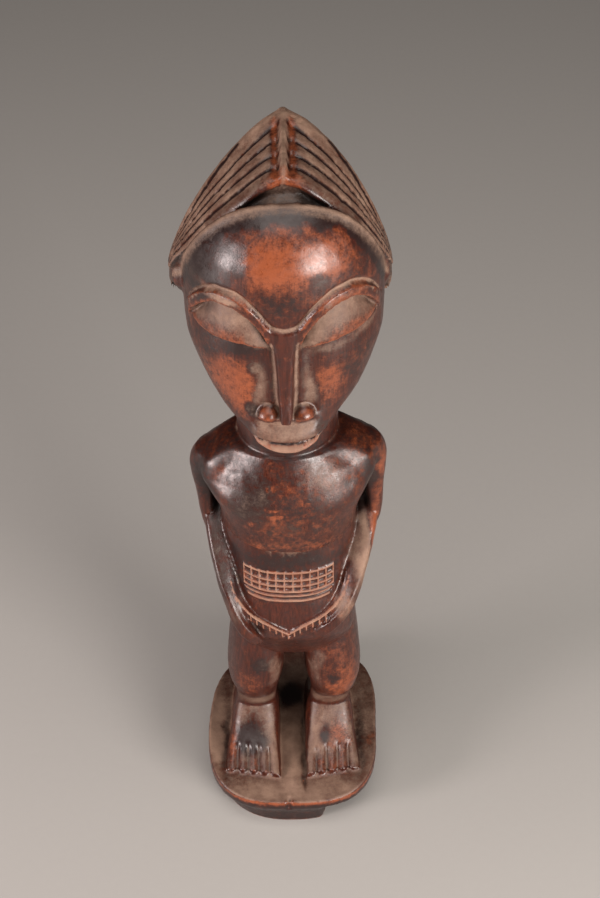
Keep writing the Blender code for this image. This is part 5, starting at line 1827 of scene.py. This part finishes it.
class FIGURE_OT_stage(bpy.types.Operator):
    """Lay the floor, and set the lights and the camera"""

    bl_idname = "figure.stage"
    bl_label = "Set Stage"

    def execute(self, context):
        scene = context.scene
        stage = scene.figure_stage
        bm = bmesh.new()
        bmesh.ops.create_grid(bm, x_segments=8, y_segments=8, size=FLOOR_HALF)
        floor = new_object("floor", bm)
        floor.location.z = CAD_BOX[0].z
        floor.data.materials.append(floor_finish(stage.floor_colour))

        middle = Vector((0.0, 0.0, (CAD_BOX[0].z + CAD_BOX[1].z) / 2))
        power = stage.light_power
        for name, turn, rise, away, size, share, colour in SOFT_BOXES:
            a, e = math.radians(turn), math.radians(rise)
            way = (math.sin(a) * math.cos(e), -math.cos(a) * math.cos(e), math.sin(e))
            place = middle + Vector(way) * away
            soft_light(name, place, middle, size, power * share, colour)
        world = bpy.data.worlds.new("studio")
        scene.world = world
        world.use_nodes = True
        light = world.node_tree.nodes["Background"].inputs
        light["Color"].default_value = WORLD_COLOUR
        light["Strength"].default_value = WORLD_STRENGTH

        lens = bpy.data.cameras.new("camera")
        camera = bpy.data.objects.new("camera", lens)
        scene.collection.objects.link(camera)
        tilt = stage.camera_elevation
        back = Vector((0.0, -math.cos(tilt), math.sin(tilt)))
        camera.location = Vector((0.0, 0.0, AIM_HEIGHT)) + back * stage.camera_distance
        camera.rotation_mode = "QUATERNION"
        roll = Quaternion((0.0, 0.0, 1.0), ROLL)
        camera.rotation_quaternion = (-back).to_track_quat("-Z", "Y") @ roll
        lens.sensor_fit = "VERTICAL"
        lens.sensor_height = SENSOR
        lens.lens = FOCAL / PICTURE[1] * SENSOR
        lens.shift_x = (PICTURE[0] / 2 - AXIS_COLUMN) / PICTURE[1]
        lens.shift_y = (AXIS_ROW - PICTURE[1] / 2) / PICTURE[1]
        scene.camera = camera
        scene.view_settings.view_transform = "Standard"
        return {"FINISHED"}


class VIEW3D_PT_figure(bpy.types.Panel):
    """The figure's sizes and the steps that make it"""

    bl_label = "Ancestor Figure"
    bl_space_type = "VIEW_3D"
    bl_region_type = "UI"
    bl_category = "Figure"

    def draw(self, context):
        layout = self.layout
        for group in (context.scene.figure_carving, context.scene.figure_stage):
            box = layout.box()
            for name in group.__annotations__:
                box.prop(group, name)
        for step in (FIGURE_OT_carve, FIGURE_OT_stage):
            layout.operator(step.bl_idname)


CLASSES = (FigureCarving, FigureStage, FIGURE_OT_carve, FIGURE_OT_stage, VIEW3D_PT_figure)


def register():
    """Makes the add-on's classes and sizes known."""
    for made in CLASSES:
        bpy.utils.register_class(made)
    bpy.types.Scene.figure_carving = bpy.props.PointerProperty(type=FigureCarving)
    bpy.types.Scene.figure_stage = bpy.props.PointerProperty(type=FigureStage)


def unregister():
    """Takes them back."""
    del bpy.types.Scene.figure_stage
    del bpy.types.Scene.figure_carving
    for made in reversed(CLASSES):
        bpy.utils.unregister_class(made)


def main():
    """Carves the figure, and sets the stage."""
    register()
    bpy.ops.figure.carve()
    bpy.ops.figure.stage()


if __name__ == "__main__":
    main()
